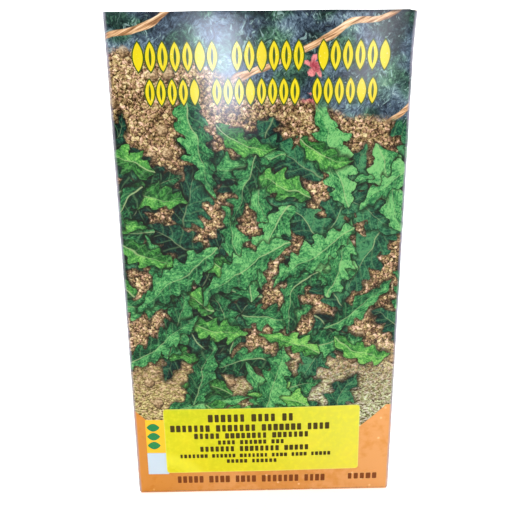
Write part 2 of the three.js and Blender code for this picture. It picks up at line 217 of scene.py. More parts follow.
line_x, line_y = line[:, 0], line[:, 1]
on_glue_flap = (np.arange(len(line)) >= len(line) - GLUE_STATIONS) & (line_x > glue_x - BOARD)
dust_low = 2 * BOARD + PLAY + GLUE_LINE
dust_high = HEIGHT - 2 * BOARD - 2 * PLAY
past_near, past_far = NEAR_STEP - STEP_RUN / 2, FAR_STEP - STEP_RUN / 2
back_high = np.where(line_y > past_far, HEIGHT - BOARD - PLAY, dust_high)
wall_low = np.where(line_y < -past_far, BOARD + GLUE_LINE, np.where(line_y > past_near, 0.0, dust_low))
wall_high = np.where(line_y < -past_near, HEIGHT, back_high)
wall_low[on_glue_flap] = dust_low
wall_high[on_glue_flap] = dust_high
on_front = line_y < -FOLD_Y
front_u = around[on_front]
wall_low[on_front] += EDGE_WAVE_LOW * (1 + np.sin(front_u / 7.5) * np.sin(front_u / 3.1))
wall_high[on_front] -= EDGE_WAVE_HIGH * (1 + np.sin(front_u / 6.0 + 1.0))
wall_high -= BLUNT_DROP * np.exp(-((around - FRONT_FOLD_U) / BLUNT_REACH) ** 2)

wall_z = wall_low[:, None] + (wall_high - wall_low)[:, None] * np.linspace(0, 1, WALL_ROWS)
x_run, y_run, u_run = line_x[:, None], line_y[:, None], around[:, None]
on_face = np.abs(y_run) > FOLD_Y
on_side = ~on_face & (np.abs(x_run) > FOLD_X)
from_face, from_side = face_bulge(x_run, wall_z), side_bulge(y_run, wall_z)
bulge_here = np.where(on_face, from_face / FRONT_BULGE, from_side / SIDE_BULGE)
stand_out = np.where(on_face, from_face, np.where(on_side, from_side, 0))
stand_out = stand_out + unevenness(u_run, wall_z) * np.sqrt(np.clip(bulge_here, 0, 1))
outer_wall = placed(
    x_run + line[:, 2:3] * stand_out + corner_flare(x_run, y_run, wall_z),
    y_run + line[:, 3:4] * stand_out,
    wall_z,
)
inner_wall = outer_wall - BOARD * placed(line[:, 2:3], line[:, 3:4], 0.0)

# The print is laid out in one plane, as on the flat blank: the first coordinate is the distance round the
# board from the front's middle, and the second is the height, which runs on over the lid.
PRINT_SPAN = 400.0
PRINT_LEFT = 250.0
VARNISH_LEVEL = 0.12


def print_places(u, z):
    """Map places of the print for a distance round the board and a height, both in millimetres."""
    return np.stack(np.broadcast_arrays(u + PRINT_LEFT, z), -1).reshape(-1, 2) / PRINT_SPAN


def sheet_colour(red, green, blue):
    """A colour read as 0 to 255 from a picture, as the linear values that a shader takes."""
    parts = np.array([red, green, blue]) / 255
    linear = np.where(parts <= 0.04045, parts / 12.92, ((parts + 0.055) / 1.055) ** 2.4)
    return (*linear.tolist(), 1.0)


def feed(socket, value):
    """Links a socket to a field, or sets it to a number, a place or a colour."""
    if isinstance(value, Field):
        socket.id_data.links.new(value.socket, socket)
    elif socket.type == "VECTOR" and np.ndim(value) == 0:
        socket.default_value = (value, value, value)
    else:
        socket.default_value = value


def add_node(tree, kind, inputs, **settings):
    """A new shader node with its settings, whose inputs are fed by name or number."""
    node = tree.nodes.new("ShaderNode" + kind)
    for name, value in settings.items():
        setattr(node, name, value)
    for key, value in inputs.items():
        feed(node.inputs[key], value)
    return node


def worked(operation, *values):
    """The field that a node of arithmetic makes of fields and numbers: a place, if one of them is."""
    fields = [value for value in values if isinstance(value, Field)]
    spatial = any(field.socket.type != "VALUE" for field in fields)
    kind = "VectorMath" if spatial else "Math"
    node = add_node(fields[0].socket.id_data, kind, dict(enumerate(values)), operation=operation)
    plain = not spatial or operation in ("DOT_PRODUCT", "LENGTH")
    return Field(node.outputs["Value" if plain else "Vector"])


def arithmetic(operation):
    """A method that works out an operation of a field and what it is given."""
    return lambda field, *others: worked(operation, field, *others)


class Field:
    """What a node gives at each point: a number, a place in millimetres or a colour. Sums, products and
    the methods below add the nodes that work them out."""

    def __init__(self, socket):
        self.socket = socket

    __add__ = arithmetic("ADD")
    __sub__ = arithmetic("SUBTRACT")
    __mul__ = arithmetic("MULTIPLY")
    __truediv__ = arithmetic("DIVIDE")
    __pow__ = arithmetic("POWER")
    __abs__ = arithmetic("ABSOLUTE")
    floor = arithmetic("FLOOR")
    fraction = arithmetic("FRACT")
    sine = arithmetic("SINE")
    at_least = arithmetic("MAXIMUM")
    at_most = arithmetic("MINIMUM")
    above = arithmetic("GREATER_THAN")  # 1 where it is more than a limit, and 0 elsewhere
    below = arithmetic("LESS_THAN")
    dot = arithmetic("DOT_PRODUCT")
    length = arithmetic("LENGTH")

    def __rsub__(self, other):
        return worked("SUBTRACT", other, self)

    def parts(self):
        """The three numbers of a place or a colour."""
        return [Field(socket) for socket in add_node(self.socket.id_data, "SeparateXYZ", {0: self}).outputs]

    def turned(self, angle):
        """The place turned about the +Z axis by an angle in radians."""
        inputs = {"Vector": self, "Angle": angle}
        node = add_node(self.socket.id_data, "VectorRotate", inputs, rotation_type="Z_AXIS")
        return Field(node.outputs[0])

    def step(self, low, high, to_low=0.0, to_high=1.0):
        """A smooth step from to_low at low to to_high at high."""
        inputs = dict(enumerate((self, low, high, to_low, to_high)))
        node = add_node(self.socket.id_data, "MapRange", inputs, interpolation_type="SMOOTHSTEP")
        return Field(node.outputs[0])

    def within(self, low, high, soft):
        """1 where it lies between low and high, with soft edges."""
        return self.step(low - soft, low + soft) * self.step(high - soft, high + soft, 1.0, 0.0)


class Finish:
    """A material's node tree. Each method adds a node and gives what it works out. Where a colour is asked
    for, a field of colours or red, green and blue from 0 to 255 will do."""

    def __init__(self, name):
        self.material = bpy.data.materials.new(name)
        self.material.use_nodes = True
        self.tree = self.material.node_tree
        self.surface = self.tree.nodes["Principled BSDF"]

    def object_place(self):
        return Field(add_node(self.tree, "TexCoord", {}).outputs["Object"]) * (1 / MM)

    def map_place(self, name, span, shift):
        """Places in millimetres from a map of the mesh, counted from a point of it."""
        return Field(add_node(self.tree, "UVMap", {}, uv_map=name).outputs["UV"]) * span - shift

    def joined(self, x, y, z=0.0):
        """The place that three numbers make."""
        return Field(add_node(self.tree, "CombineXYZ", {0: x, 1: y, 2: z}).outputs[0])

    def noise_node(self, at, size, detail, roughness):
        inputs = {"Vector": at, "Scale": 1 / size, "Detail": detail, "Roughness": roughness}
        return add_node(self.tree, "TexNoise", inputs)

    def noise(self, at, size, detail=2.0, roughness=0.5):
        """Smooth noise whose features are about size millimetres."""
        return Field(self.noise_node(at, size, detail, roughness).outputs[0])

    def drift(self, at, size, detail, reach):
        """Three smooth noises, as a shift of up to half of reach either way."""
        return (Field(self.noise_node(at, size, detail, 0.5).outputs[1]) - 0.5) * reach

    def cells(self, at, size, feature, flat):
        settings = {"voronoi_dimensions": "2D" if flat else "3D", "feature": feature}
        return add_node(self.tree, "TexVoronoi", {"Vector": at, "Scale": 1 / size}, **settings)

    def grains(self, at, size, flat=True):
        """Irregular cells of about size millimetres: the distance from a cell's middle, in cells, three
        numbers by chance for each cell, and its middle."""
        outputs = self.cells(at, size, "F1", flat).outputs
        return [Field(outputs[name]) for name in ("Distance", "Color", "Position")]

    def gaps(self, at, size, flat=True):
        """The distance from the gaps between the same cells."""
        return Field(self.cells(at, size, "DISTANCE_TO_EDGE", flat).outputs["Distance"])

    def chance(self, *key):
        """Random numbers that stay the same for a key of whole numbers: one, and three as a place."""
        node = add_node(self.tree, "TexWhiteNoise", {"Vector": self.joined(*key)}, noise_dimensions="3D")
        return Field(node.outputs["Value"]), Field(node.outputs["Color"])

    def mix(self, factor, a, b, blend="MIX"):
        a, b = (sheet_colour(*colour) if isinstance(colour, tuple) else colour for colour in (a, b))
        inputs = {0: factor, 6: a, 7: b}
        node = add_node(self.tree, "Mix", inputs, data_type="RGBA", blend_type=blend, clamp_factor=True)
        return Field(node.outputs[2])

    def ramp(self, value, stops):
        """A colour for each number, from stops that each tell a number and a colour."""
        node = add_node(self.tree, "ValToRGB", {0: value})
        points = node.color_ramp.elements
        while len(points) < len(stops):
            points.new(0.5)
        for point, (place, colour) in zip(points, stops):
            point.position = place
            point.color = sheet_colour(*colour)
        return Field(node.outputs[0])

    def relief(self, height, depth_mm):
        node = add_node(self.tree, "Bump", {"Strength": 1.0, "Distance": depth_mm * MM, "Height": height})
        feed(self.surface.inputs["Normal"], Field(node.outputs[0]))

    def finished(self, inputs):
        """The material, with inputs of its surface fed by name."""
        for name, value in inputs.items():
            feed(self.surface.inputs[name], value)
        return self.material


def soil(f, at):
    """Dry clods of soil: rough noise and cells of two sizes in browns, dark in the gaps and lit from the
    upper left. Stones lie in it, and low down it is made of paler, finer chaff."""
    stirred = f.drift(at, 1.1, 3.0, 2.4)
    spread = at + stirred
    _, clod_chances, clod_middle = f.grains(spread, 1.5)
    _, crumb_chances, _ = f.grains(spread, 0.7)
    lit = (spread - clod_middle).dot((-0.3, 0.42, 0.0))
    patch = f.noise(at, 15.0, 2.0, 0.6)
    grit = f.noise(at, 0.9, 3.0, 0.7)
    shade = clod_chances.parts()[0] * 0.42 + crumb_chances.parts()[1] * 0.34 + lit * 0.26 + patch * 0.7
    shade = shade + grit * 2.0 - f.gaps(spread, 1.5).step(0.18, 0.0, 0.0, 0.34) - 1.2
    coarse = f.ramp(shade, [
        (0.05, (38, 27, 20)),
        (0.25, (90, 69, 46)),
        (0.47, (144, 117, 84)),
        (0.7, (190, 163, 124)),
        (0.95, (230, 212, 182)),
    ])
    chaff_at = at * (0.55, 1.3, 1.0) + f.drift(at, 2.2, 2.0, 3.0) + 1.5
    chaff = f.noise(chaff_at, 0.75, 2.0, 0.6)
    sandy = f.ramp(chaff * 3.2 + patch * 0.5 - 1.3, [
        (0.1, (74, 60, 38)),
        (0.4, (146, 132, 98)),
        (0.65, (197, 185, 152)),
        (0.95, (240, 234, 214)),
    ])
    x, y, _ = at.parts()
    sandy = sandy * f.mix(x.step(20.0, -30.0), (226, 241, 238), (232, 224, 190))
    off_stone, stone_chances, stone_middle = f.grains(at + stirred * 0.5, 9.0)
    stone_here = stone_chances.parts()[1].above(0.68) * off_stone.step(0.27, 0.22)
    stone_shade = grit * 1.8 + (at - stone_middle).dot((-0.08, 0.12, 0.0)) - 0.36
    stone_shade = stone_shade - off_stone.step(0.15, 0.26, 0.0, 0.4)
    stone_colour = f.ramp(stone_shade, [(0.2, (72, 54, 36)), (0.5, (146, 118, 84)), (0.85, (208, 184, 146))])
    mineral = f.noise(at + (7.0, 31.0, 0.0), 1.5, 1.0).step(0.44, 0.58)
    ground = f.mix(y.step(74.0, 36.0), coarse, sandy) * f.mix(mineral, (250, 255, 232), (255, 240, 250))
    return f.mix(stone_here, ground, stone_colour)


LEAF_TOP = 150.0  # no leaf has its middle higher than this
LEAF_LOW = 28.0  # or lower than this in front, and than the next at the sides
LEAF_LOW_SIDES = 74.0


def leaf_scatter(f, ground, at, seed, turn_deg, cell, shift, bare, tones):
    """One scatter of wavy oval leaves over a ground colour. The plane is cut into turned cells in half
    drop rows, and each holds one leaf of chance size, lean and green, or is bare. A leaf's edge is a sine
    wave of its length with small waves on it, it has a pale midrib and slanting veins, one half is lit,
    and it throws a soft shadow."""
    wide, tall = cell
    turn = math.radians(turn_deg)
    start = (*shift, 0.0)
    moved = (at + f.drift(at, 16.0, 2.0, 9.0) + start).turned(turn)
    x, y, _ = moved.parts()
    column = (x / wide).floor()
    drop = (column * 0.5).fraction()
    row = (y / tall + drop).floor()
    value, three = f.chance(column, row, float(seed))
    chance_x, chance_y, chance_z = three.parts()
    middle = f.joined((column + 0.5) * wide, (row + 0.5 - drop) * tall)
    centre_u, centre_height, _ = (middle.turned(-turn) - start).parts()
    lowest = (abs(centre_u - 2.0) - 22.0).at_least(0.0) * 2.0 + LEAF_LOW
    grown = centre_height.below(LEAF_TOP) * value.above(bare)
    grown = grown * centre_height.above(lowest.at_most(LEAF_LOW_SIDES))

    lean = chance_y.above(0.5) * math.pi + (chance_x - 0.5) * 0.4
    local = (moved - middle).turned(lean)
    straight_across, along, _ = local.parts()
    size = chance_z * 0.28 + 0.74
    raw_t = along / (size * (tall * 0.95)) + 0.5
    t = raw_t.at_most(1.0).at_least(0.0)
    from_half = t - 0.5
    across = straight_across + from_half * from_half * (value * 26.0 - 13.0)
    beside = abs(across)
    profile = (t ** 0.72 * math.pi).sine().at_least(0.0) ** 0.85
    waves = (along * 1.1 + across * 0.5).sine() + (f.noise(moved, 3.0) - 0.5) * 4.4
    half = profile * (size * (wide * 0.46)) * (waves * 0.24 + 0.82)
    depth = half - beside - abs(raw_t - t) * 40.0
    leaf = depth.step(-0.12, 0.18) * grown
    shadow = depth.step(-2.2, 0.0) * grown

    green = chance_z * 0.45 + across.step(-0.5, 0.5) * 0.24 + f.noise(local, 4.6, 4.0, 0.62) * 1.7
    green = green + f.noise(local * (1.0, 0.7, 1.0), 0.7, 4.0, 0.75) * 2.7 - 2.05
    green = green + at.parts()[0].step(-45.0, 50.0, -0.12, 0.19) - depth.step(1.2, 0.0, 0.0, 0.12)
    vein_place = ((along - beside * 0.9) / 4.2).fraction()
    vein = abs(vein_place - 0.5).step(0.0, 0.13, 0.34, 0.0)
    rib = (t * -0.3 + 0.26 - beside).step(-0.14, 0.12) * (chance_x * 0.75 + 0.05)
    colour = f.mix(vein, f.ramp(green, tones), (96, 140, 90))
    colour = f.mix(rib, colour, (158, 178, 126))
    return f.mix(leaf, f.mix(shadow * 0.85, ground, (14, 16, 12)), colour)


DEEP_GREENS = [(0.0, (6, 18, 18)), (0.35, (16, 50, 42)), (0.7, (32, 88, 60)), (1.0, (66, 130, 84))]
MID_GREENS = [(0.0, (8, 32, 24)), (0.35, (28, 84, 50)), (0.7, (60, 138, 76)), (1.0, (116, 180, 108))]
BRIGHT_GREENS = [(0.0, (16, 52, 26)), (0.35, (46, 110, 46)), (0.7, (80, 154, 66)), (1.0, (138, 192, 98))]
FIRST_LEAF_SEED = 3
LEAF_LAYERS = [
    # turn, cell, shift, share of cells left bare, greens
    (24.0, (17.0, 40.0), (3.0, 11.0), 0.34, DEEP_GREENS),
    (-58.0, (16.0, 38.0), (17.0, 4.0), 0.36, DEEP_GREENS),
    (78.0, (15.0, 35.0), (8.0, 23.0), 0.46, MID_GREENS),
    (-21.0, (15.0, 42.0), (12.0, 31.0), 0.48, MID_GREENS),
    (-80.0, (12.0, 29.0), (5.0, 19.0), 0.6, BRIGHT_GREENS),
    (12.0, (14.0, 37.0), (14.0, 2.0), 0.6, MID_GREENS),
    (47.0, (14.0, 44.0), (29.0, 7.0), 0.6, MID_GREENS),
]
GRASS_STROKES = [
    # turn and start
    (38.0, 3.0),
    (-24.0, 41.0),
]
STEM_TURN = math.radians(64.0)
STEM_SPACING = 34.0


def shaded_garden(f, at):
    """A dim garden in blue greens behind the soil: broad blobs, short bent strokes of grass in two
    directions and paler blades among them, a few blossoms, and dry tan stems that cross it."""
    shade = (f.noise(at, 13.0) - 0.5) * 1.5 + 0.35
    swirled = at + f.drift(at, 6.0, 2.0, 8.0)
    pale = 0.0
    for turn_deg, start in GRASS_STROKES:
        laid = (swirled + (start, 0.0, 0.0)).turned(math.radians(turn_deg))
        stroke = f.noise(laid * (1.0, 0.42, 1.0), 1.0, 4.0, 0.72)
        shade = shade + (stroke - 0.5) * 1.5
        blade = f.noise(laid * (1.0, 0.12, 1.0), 1.0).step(0.6, 0.7)
        pale = (blade * f.noise(laid, 9.0, 1.0).step(0.42, 0.6)).at_least(pale)
    green = f.ramp(shade, [
        (0.0, (16, 28, 28)),
        (0.35, (40, 66, 58)),
        (0.7, (80, 124, 98)),
        (1.0, (156, 192, 160)),
    ])
    blue = f.ramp(shade, [
        (0.0, (24, 30, 40)),
        (0.35, (62, 78, 94)),
        (0.7, (112, 134, 150)),
        (1.0, (182, 200, 204)),
    ])
    bluish = f.noise(at + (61.0, 17.0, 0.0), 10.0, 1.0).step(0.4, 0.6)
    colour = f.mix(pale * 0.6, f.mix(bluish, green, blue), (156, 190, 184))

    petal_place = at + f.drift(at, 5.0, 2.0, 5.0) + (9.0, 4.0, 0.0)
    off_heart, blossom_chances, heart = f.grains(petal_place, 15.0)
    heart_x, heart_y, _ = (petal_place - heart).parts()
    lobes = (worked("ARCTAN2", heart_y, heart_x) * 5.0).sine() * -0.07 + off_heart
    petal = (stroke * 0.24 + lobes - 0.12).step(0.22, 0.17) * blossom_chances.parts()[0].above(0.8)
    petal_shade = (off_heart * 1.6 + stroke * 0.9).step(0.4, 0.95)
    colour = f.mix(petal * 0.9, colour, f.mix(petal_shade, (150, 44, 62), (240, 150, 150)))

    laid = at.turned(STEM_TURN)
    off_line = (laid.parts()[0] + (f.noise(at, 26.0) - 0.5) * 16.0) / STEM_SPACING
    beside = abs(off_line.fraction() - 0.5) * STEM_SPACING
    half = f.chance(off_line.floor(), 1.0, 4.0)[0] + f.noise(at, 9.0) * 1.8 + 0.1
    tan = f.ramp(f.noise(laid * (1.0, 0.07, 1.0), 0.8, 3.0, 0.7), [
        (0.3, (84, 56, 36)),
        (0.45, (164, 118, 78)),
        (0.55, (214, 174, 132)),
        (0.7, (250, 226, 196)),
    ])
    return f.mix((beside - half).step(0.2, -0.2), colour, tan)


SKYLINE = 170.0
ARC_LOW = 14.2
ARC_RISE = 0.0098  # millimetres of height per square millimetre from the arc's middle
ARC_SHIFT = 1.6  # how far left of the panel's middle the arc has its own
BACK_PANEL_HALF = 42.0
BACK_PANEL_LOW = 52.0
BACK_PANEL_HIGH = 150.0
TEXT_LOW = 58.0
TEXT_HIGH = 143.0
TEXT_LINE = 4.2
TEXT_WORD = 2.3


def back_text(f, u, z, from_back):
    """Where the plain bars of the back panel are: lines of chance length, with chance gaps in them."""
    line_number = (z / TEXT_LINE).floor()
    word_number = (u / TEXT_WORD).floor()
    word_here = f.chance(word_number, line_number, 5.0)[0].above(0.2)
    line_end = f.chance(line_number, 3.0, 9.0)[0] * 9.0 + 28.0
    bars = (z / TEXT_LINE).fraction().within(0.28, 0.68, 0.03) * word_here * from_back.below(line_end)
    return bars * z.within(TEXT_LOW, TEXT_HIGH, 0.1)


def orange_ground(f, at, from_front, u):
    """Drifting orange with a few pale specks, a little deeper near the left fold of the front."""
    ink_drift = f.noise(at, 30.0) * 0.8 + f.noise(at, 4.0, 4.0, 0.6) * 0.9 + from_front.at_most(52.0) * 0.004
    orange = f.ramp(ink_drift, [(0.5, (200, 128, 50)), (0.85, (213, 143, 74)), (1.0, (220, 154, 92))])
    off_speck, speck_chances, _ = f.grains(at, 7.0)
    speck = off_speck.step(0.1, 0.03) * speck_chances.parts()[2].above(0.6)
    orange = f.mix(speck * 0.5, orange, (250, 212, 160))
    return f.mix(abs(u + 50.0).step(46.0, 4.0), orange, (238, 222, 162), "MULTIPLY")


def printed_board():
    """The printed and varnished outer face: soil with leaves scattered over it, a dim garden above, and an
    orange ground below an arc. The back has a pale panel with plain bars. Along the folds the print is
    worn off in flecks, and a grey-lilac line of painted shade and reflection runs along each rounded fold.
    Painted shade darkens the front's top edge, and the bottom edge has a dark ragged line that is partly
    wear and partly a painted contact shadow. The varnish is slightly uneven."""
    f = Finish("board_print")
    at = f.map_place("print", PRINT_SPAN, (PRINT_LEFT, 0.0, 0.0))
    u, z, _ = at.parts()
    from_front = abs(u)
    from_back = abs(u - BACK_MIDDLE_U)
    garden = shaded_garden(f, at)
    orange = orange_ground(f, at, from_front, u)
    colour = soil(f, at)
    for seed, layer in enumerate(LEAF_LAYERS, FIRST_LEAF_SEED):
        colour = leaf_scatter(f, colour, at, seed, *layer)
    skyline = (u / 34.0).sine() * 12.5 + z + f.noise(at, 9.0, 3.0) * 9.0
    colour = f.mix(skyline.step(SKYLINE - 1.5, SKYLINE + 1.5), colour, garden)
    from_middle = abs(u + ARC_SHIFT).at_most(from_back).at_most(FRONT_FOLD_U - 1.0)
    arc = from_middle * from_middle * ARC_RISE + ARC_LOW
    colour = f.mix((arc - z).step(-0.12, 0.12), colour, orange)
    panel = from_back.step(BACK_PANEL_HALF + 0.1, BACK_PANEL_HALF - 0.1)
    panel = panel * z.within(BACK_PANEL_LOW, BACK_PANEL_HIGH, 0.1)
    colour = f.mix(panel, colour, f.mix(back_text(f, u, z, from_back), (204, 196, 170), (60, 52, 36)))
    lid_ground = f.mix(z.within(HEIGHT + 26.0, HEIGHT + 44.0, 0.15), garden, orange)
    colour = f.mix(z.step(HEIGHT + 0.2, HEIGHT + 1.4), colour, lid_ground)

    off_fold = abs(from_front - FRONT_FOLD_U).at_most(abs(from_front - BACK_FOLD_U))
    off_top_edge = abs(z - HEIGHT).at_least(from_front - FRONT_FOLD_U)
    edge_shade = off_top_edge.step(1.5, 0.5) * u.step(-5.0, 35.0, 0.15, 0.78)
    colour = f.mix(edge_shade, colour, (22, 28, 36))
    scuff = f.noise(at * (1.0, 0.32, 1.0), 1.1, 4.0, 0.7)
    patchy = f.noise(at, 17.0, 1.0)
    worn = (scuff + patchy * 0.5 - off_fold * 0.55).step(0.62, 0.7)
    colour = f.mix(worn * 0.8, colour, (206, 206, 220))
    # Painted shade and reflection: a thin grey-lilac line along the rounded folds, broken up by patchy
    # noise.
    fold_shade_and_reflection = off_fold.step(1.3, 0.3) * patchy.step(0.3, 0.6, 0.3, 0.7)
    colour = f.mix(fold_shade_and_reflection, colour, (158, 156, 170))
    # Partly wear and partly a painted contact shadow: a dark ragged line along the bottom edge.
    low_edge_wear_and_shadow = (scuff * 1.6 - z).step(-0.5, 0.4)
    colour = f.mix(low_edge_wear_and_shadow * 0.8, colour, (108, 84, 68))

    gloss = f.noise(at, 22.0, 3.0) * 0.1 + worn * 0.3 + 0.07
    f.relief(f.noise(at, 1.2) * 0.6 + f.noise(at, 6.0) - worn * 0.8, 0.014)
    return f.finished({"Base Color": colour, "Roughness": gloss, "Specular IOR Level": VARNISH_LEVEL})


def raw_board(name, pale, dark):
    """Uncoated grey board: mottled pulp with short fibres and dark flecks, matt and slightly rough."""
    f = Finish(name)
    at = f.object_place()
    pulp = f.noise(at, 3.5, 4.0, 0.6)
    fibre = f.noise(at * (0.35, 1.0, 2.2), 0.8, 3.0, 0.7)
    off_fleck, fleck_chances, _ = f.grains(at, 1.9, flat=False)
    fleck = off_fleck.below(0.13) * fleck_chances.parts()[0].above(0.78)
    colour = f.ramp(fibre * 0.45 + pulp * 0.55, [(0.3, dark), (0.7, pale)])
    f.relief(pulp + fibre, 0.05)
    return f.finished({"Base Color": f.mix(fleck * 0.5, colour, (92, 80, 66)), "Roughness": 0.82})


board_print = printed_board()
board_back = raw_board("board_back", (190, 182, 166), (160, 151, 134))
board_core = raw_board("board_core", (216, 210, 198), (180, 171, 156))
PRINTED_BOARD = [board_print, board_back, board_core]

wall_points, wall_faces, wall_side = shell(outer_wall, inner_wall)
wall_places = np.tile(print_places(u_run, wall_z), (2, 1))
walls = make_piece("walls", wall_points, wall_faces, PRINTED_BOARD, wall_side, {"print": wall_places})
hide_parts("carton_walls")
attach(walls, "root")


# The bottom is a flap creased to the front panel, folded under and tucked up inside the back, and glued to
# the two dust flaps above it. It is the same board as the walls.
CREASE_R = 0.7
TUCK_LENGTH = 15.0
TUCK_SIDE_GAP = 2.5
TUCK_CORNER_R = 8.0


def board_strip(name, line, low, high, place, print_at, columns, materials):
    """A flap of board bent along a line. line holds points and outward normals in the plane across the
    crease, low and high the flap's two ends along the crease at each point. place turns a distance along
    the crease and a point of the line into space, and print_at does so for the print."""
    along = low[:, None] + (high - low)[:, None] * np.linspace(0, 1, columns)
    inside = line[:, :2] - line[:, 2:] * BOARD
    outer, inner = (place(along, section[:, 0:1], section[:, 1:2]) for section in (line, inside))
    places = print_at(along, travelled(line)[:, None])
    points, faces, side = shell(outer, inner)
    return make_piece(name, points, faces, materials, side, {"print": np.tile(places, (2, 1))})


lid_half = WIDTH / 2 - LID_SIDE_GAP
tuck_half = WIDTH / 2 - TUCK_SIDE_GAP
bottom_tuck_y = DEPTH / 2 - BOARD - PLAY
bottom_line = np.concatenate([
    bend((-DEPTH / 2 + CREASE_R, BOARD + GLUE_LINE), CREASE_R, 180, 90, 6),
    straight((-DEPTH / 2 + CREASE_R, 0.0), (bottom_tuck_y - CREASE_R, 0.0), (0.0, -1.0), 36),
    bend((bottom_tuck_y - CREASE_R, CREASE_R), CREASE_R, -90, 90, 6),
    straight((bottom_tuck_y, CREASE_R), (bottom_tuck_y, TUCK_LENGTH + HAIR), (1.0, 0.0), 9),
])
bottom_half = np.where(bottom_line[:, 0] < bottom_tuck_y - FOLD_R, lid_half, tuck_half)
bottom_board = board_strip(
    "bottom_board", bottom_line, -bottom_half, bottom_half, placed,
    lambda along, far: print_places(along * 0.9, 8.0 - far * 0.08),
    48, PRINTED_BOARD,
)
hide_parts("bottom_lid")
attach(bottom_board, "root")

for name in ("bottom_dust_flap_left", "bottom_dust_flap_right"):
    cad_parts[name].material_slots[0].material = board_back

# The seeds are loose grains about 2 mm long. They fill the bag in one mass, with single grains lying proud
# on top of it, where they are seen through the film.
seed_low, seed_high = (np.array(corner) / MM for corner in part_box("seeds"))
mass_high = seed_high - [0, 0, 0.3]  # leaves room for the grains that lie proud
SEAT_DEPTH = 0.2  # how deep the middle of a grain that lies proud is in the mass
SEED_COUNT = 2600
SEED_SHAPE = [1.15, 0.42, 0.34]  # half the length, width and thickness of a seed
SQUARENESS = 5.0  # power of the bag's superellipse section: 2 is round, more is squarer
DOME_START = 0.86  # share of the height from which the bag is drawn in
DOME_INSET = 21.0
DOME_POWER = 3.4
FOOT_INSET = 7.0
FOOT_REACH = 0.012  # share of the height in which the inset at the floor falls to about a third


def pillow(low, high, angle, share, crinkle=0.0):
    """Points of a full bag between two corners. Its section is a superellipse at every height, drawn in
    a little at the floor and by a power of the height to a low dome at the top. crinkle is an inset."""
    middle, half = (low + high) / 2, (high - low) / 2
    inset = FOOT_INSET * np.exp(-share / FOOT_REACH) + crinkle
    inset = inset + DOME_INSET * np.clip((share - DOME_START) / (1 - DOME_START), 0, 1) ** DOME_POWER
    reach = (np.abs(np.cos(angle)) ** SQUARENESS + np.abs(np.sin(angle)) ** SQUARENESS) ** (-1 / SQUARENESS)
    return placed(
        middle[0] + np.cos(angle) * reach * (half[0] - inset),
        middle[1] + np.sin(angle) * reach * (half[1] - inset),
        low[2] + (high[2] - low[2]) * share,
    )


def closed_bag(rings, ripple):
    """Points and faces of a stack of rings, closed at both ends by shrinking rings that meet in a point.
    ripple(x, y) gives the top's unevenness."""
    low_middle, high_middle = rings[0].mean(0), rings[-1].mean(0)
    shrink = np.linspace(0.1, 0.93, 14)[:, None, None]
    floor_rings = low_middle + (rings[0] - low_middle) * shrink
    top_rings = high_middle + (rings[-1] - high_middle) * shrink[::-1]
    top_rings[..., 2] += ripple(top_rings[..., 0], top_rings[..., 1]) * (1 - shrink[::-1, :, 0] ** 2)
    stack = np.concatenate([floor_rings, rings, top_rings])
    rows, count = stack.shape[:2]
    index = np.arange(rows * count).reshape(rows, count)
    following = np.roll(index, -1, axis=1)
    quads = np.stack([index[:-1], following[:-1], following[1:], index[1:]], -1).reshape(-1, 4)
    poles = np.stack([floor_rings[0].mean(0), top_rings[-1].mean(0)])
    points = np.concatenate([stack.reshape(-1, 3), poles])
    floor_fan = [(rows * count, b, a) for a, b in zip(index[0], following[0])]
    top_fan = [(rows * count + 1, a, b) for a, b in zip(index[-1], following[-1])]
    return points, [*quads.tolist(), *floor_fan, *top_fan]


def bag_grid(around_count, up_count):
    """Angles round the bag, and shares of its height that lie closer together near both ends."""
    angle = np.linspace(0, 2 * np.pi, around_count, endpoint=False)[None, :]
    share = 0.5 - 0.5 * np.cos(np.pi * np.linspace(0, 1, up_count)[:, None])
    return angle, share


def seed_finish():
    """Dry brown seed: each grain a shade of its own, with painted shade in the gaps between the grains,
    matt.
    """
    f = Finish("seed_coat")
    at = f.object_place()
    gap = f.gaps(at, 1.7, flat=False)
    tone = f.grains(at, 1.7, flat=False)[1].parts()[0] * 0.5 + f.noise(at, 0.5)
    # Painted shade: the colour is darker in the gaps between the grains.
    colour = f.ramp(tone - gap.step(0.16, 0.0, 0.0, 0.45), [
        (0.1, (44, 30, 18)),
        (0.55, (122, 90, 54)),
        (0.95, (184, 148, 100)),
    ])
    f.relief(gap.step(0.0, 0.2), 0.5)
    return f.finished({"Base Color": colour, "Roughness": 0.78})


def one_seed():
    """Points, quads and end triangles of one slim seed along x: an ellipsoid of few faces."""
    rings, sides = 5, 6
    polar = np.linspace(0, np.pi, rings + 1)[1:-1]
    turn = np.linspace(0, 2 * np.pi, sides, endpoint=False)
    wide = (np.sin(polar)[:, None] * np.stack([np.cos(turn), np.sin(turn)])[:, None, :]).reshape(2, -1)
    points = np.stack([np.repeat(np.cos(polar), sides), *wide], -1)
    points = np.concatenate([points, [[1.0, 0, 0], [-1.0, 0, 0]]]) * SEED_SHAPE
    index = np.arange((rings - 1) * sides).reshape(rings - 1, sides)
    following = np.roll(index, -1, axis=1)
    quads = np.stack([index[:-1], index[1:], following[1:], following[:-1]], -1).reshape(-1, 4)
    first, last = np.full((2, sides), [[len(points) - 2], [len(points) - 1]])
    head = np.stack([first, index[0], following[0]], -1)
    foot = np.stack([index[-1], last, following[-1]], -1)
    return points, quads, head, foot


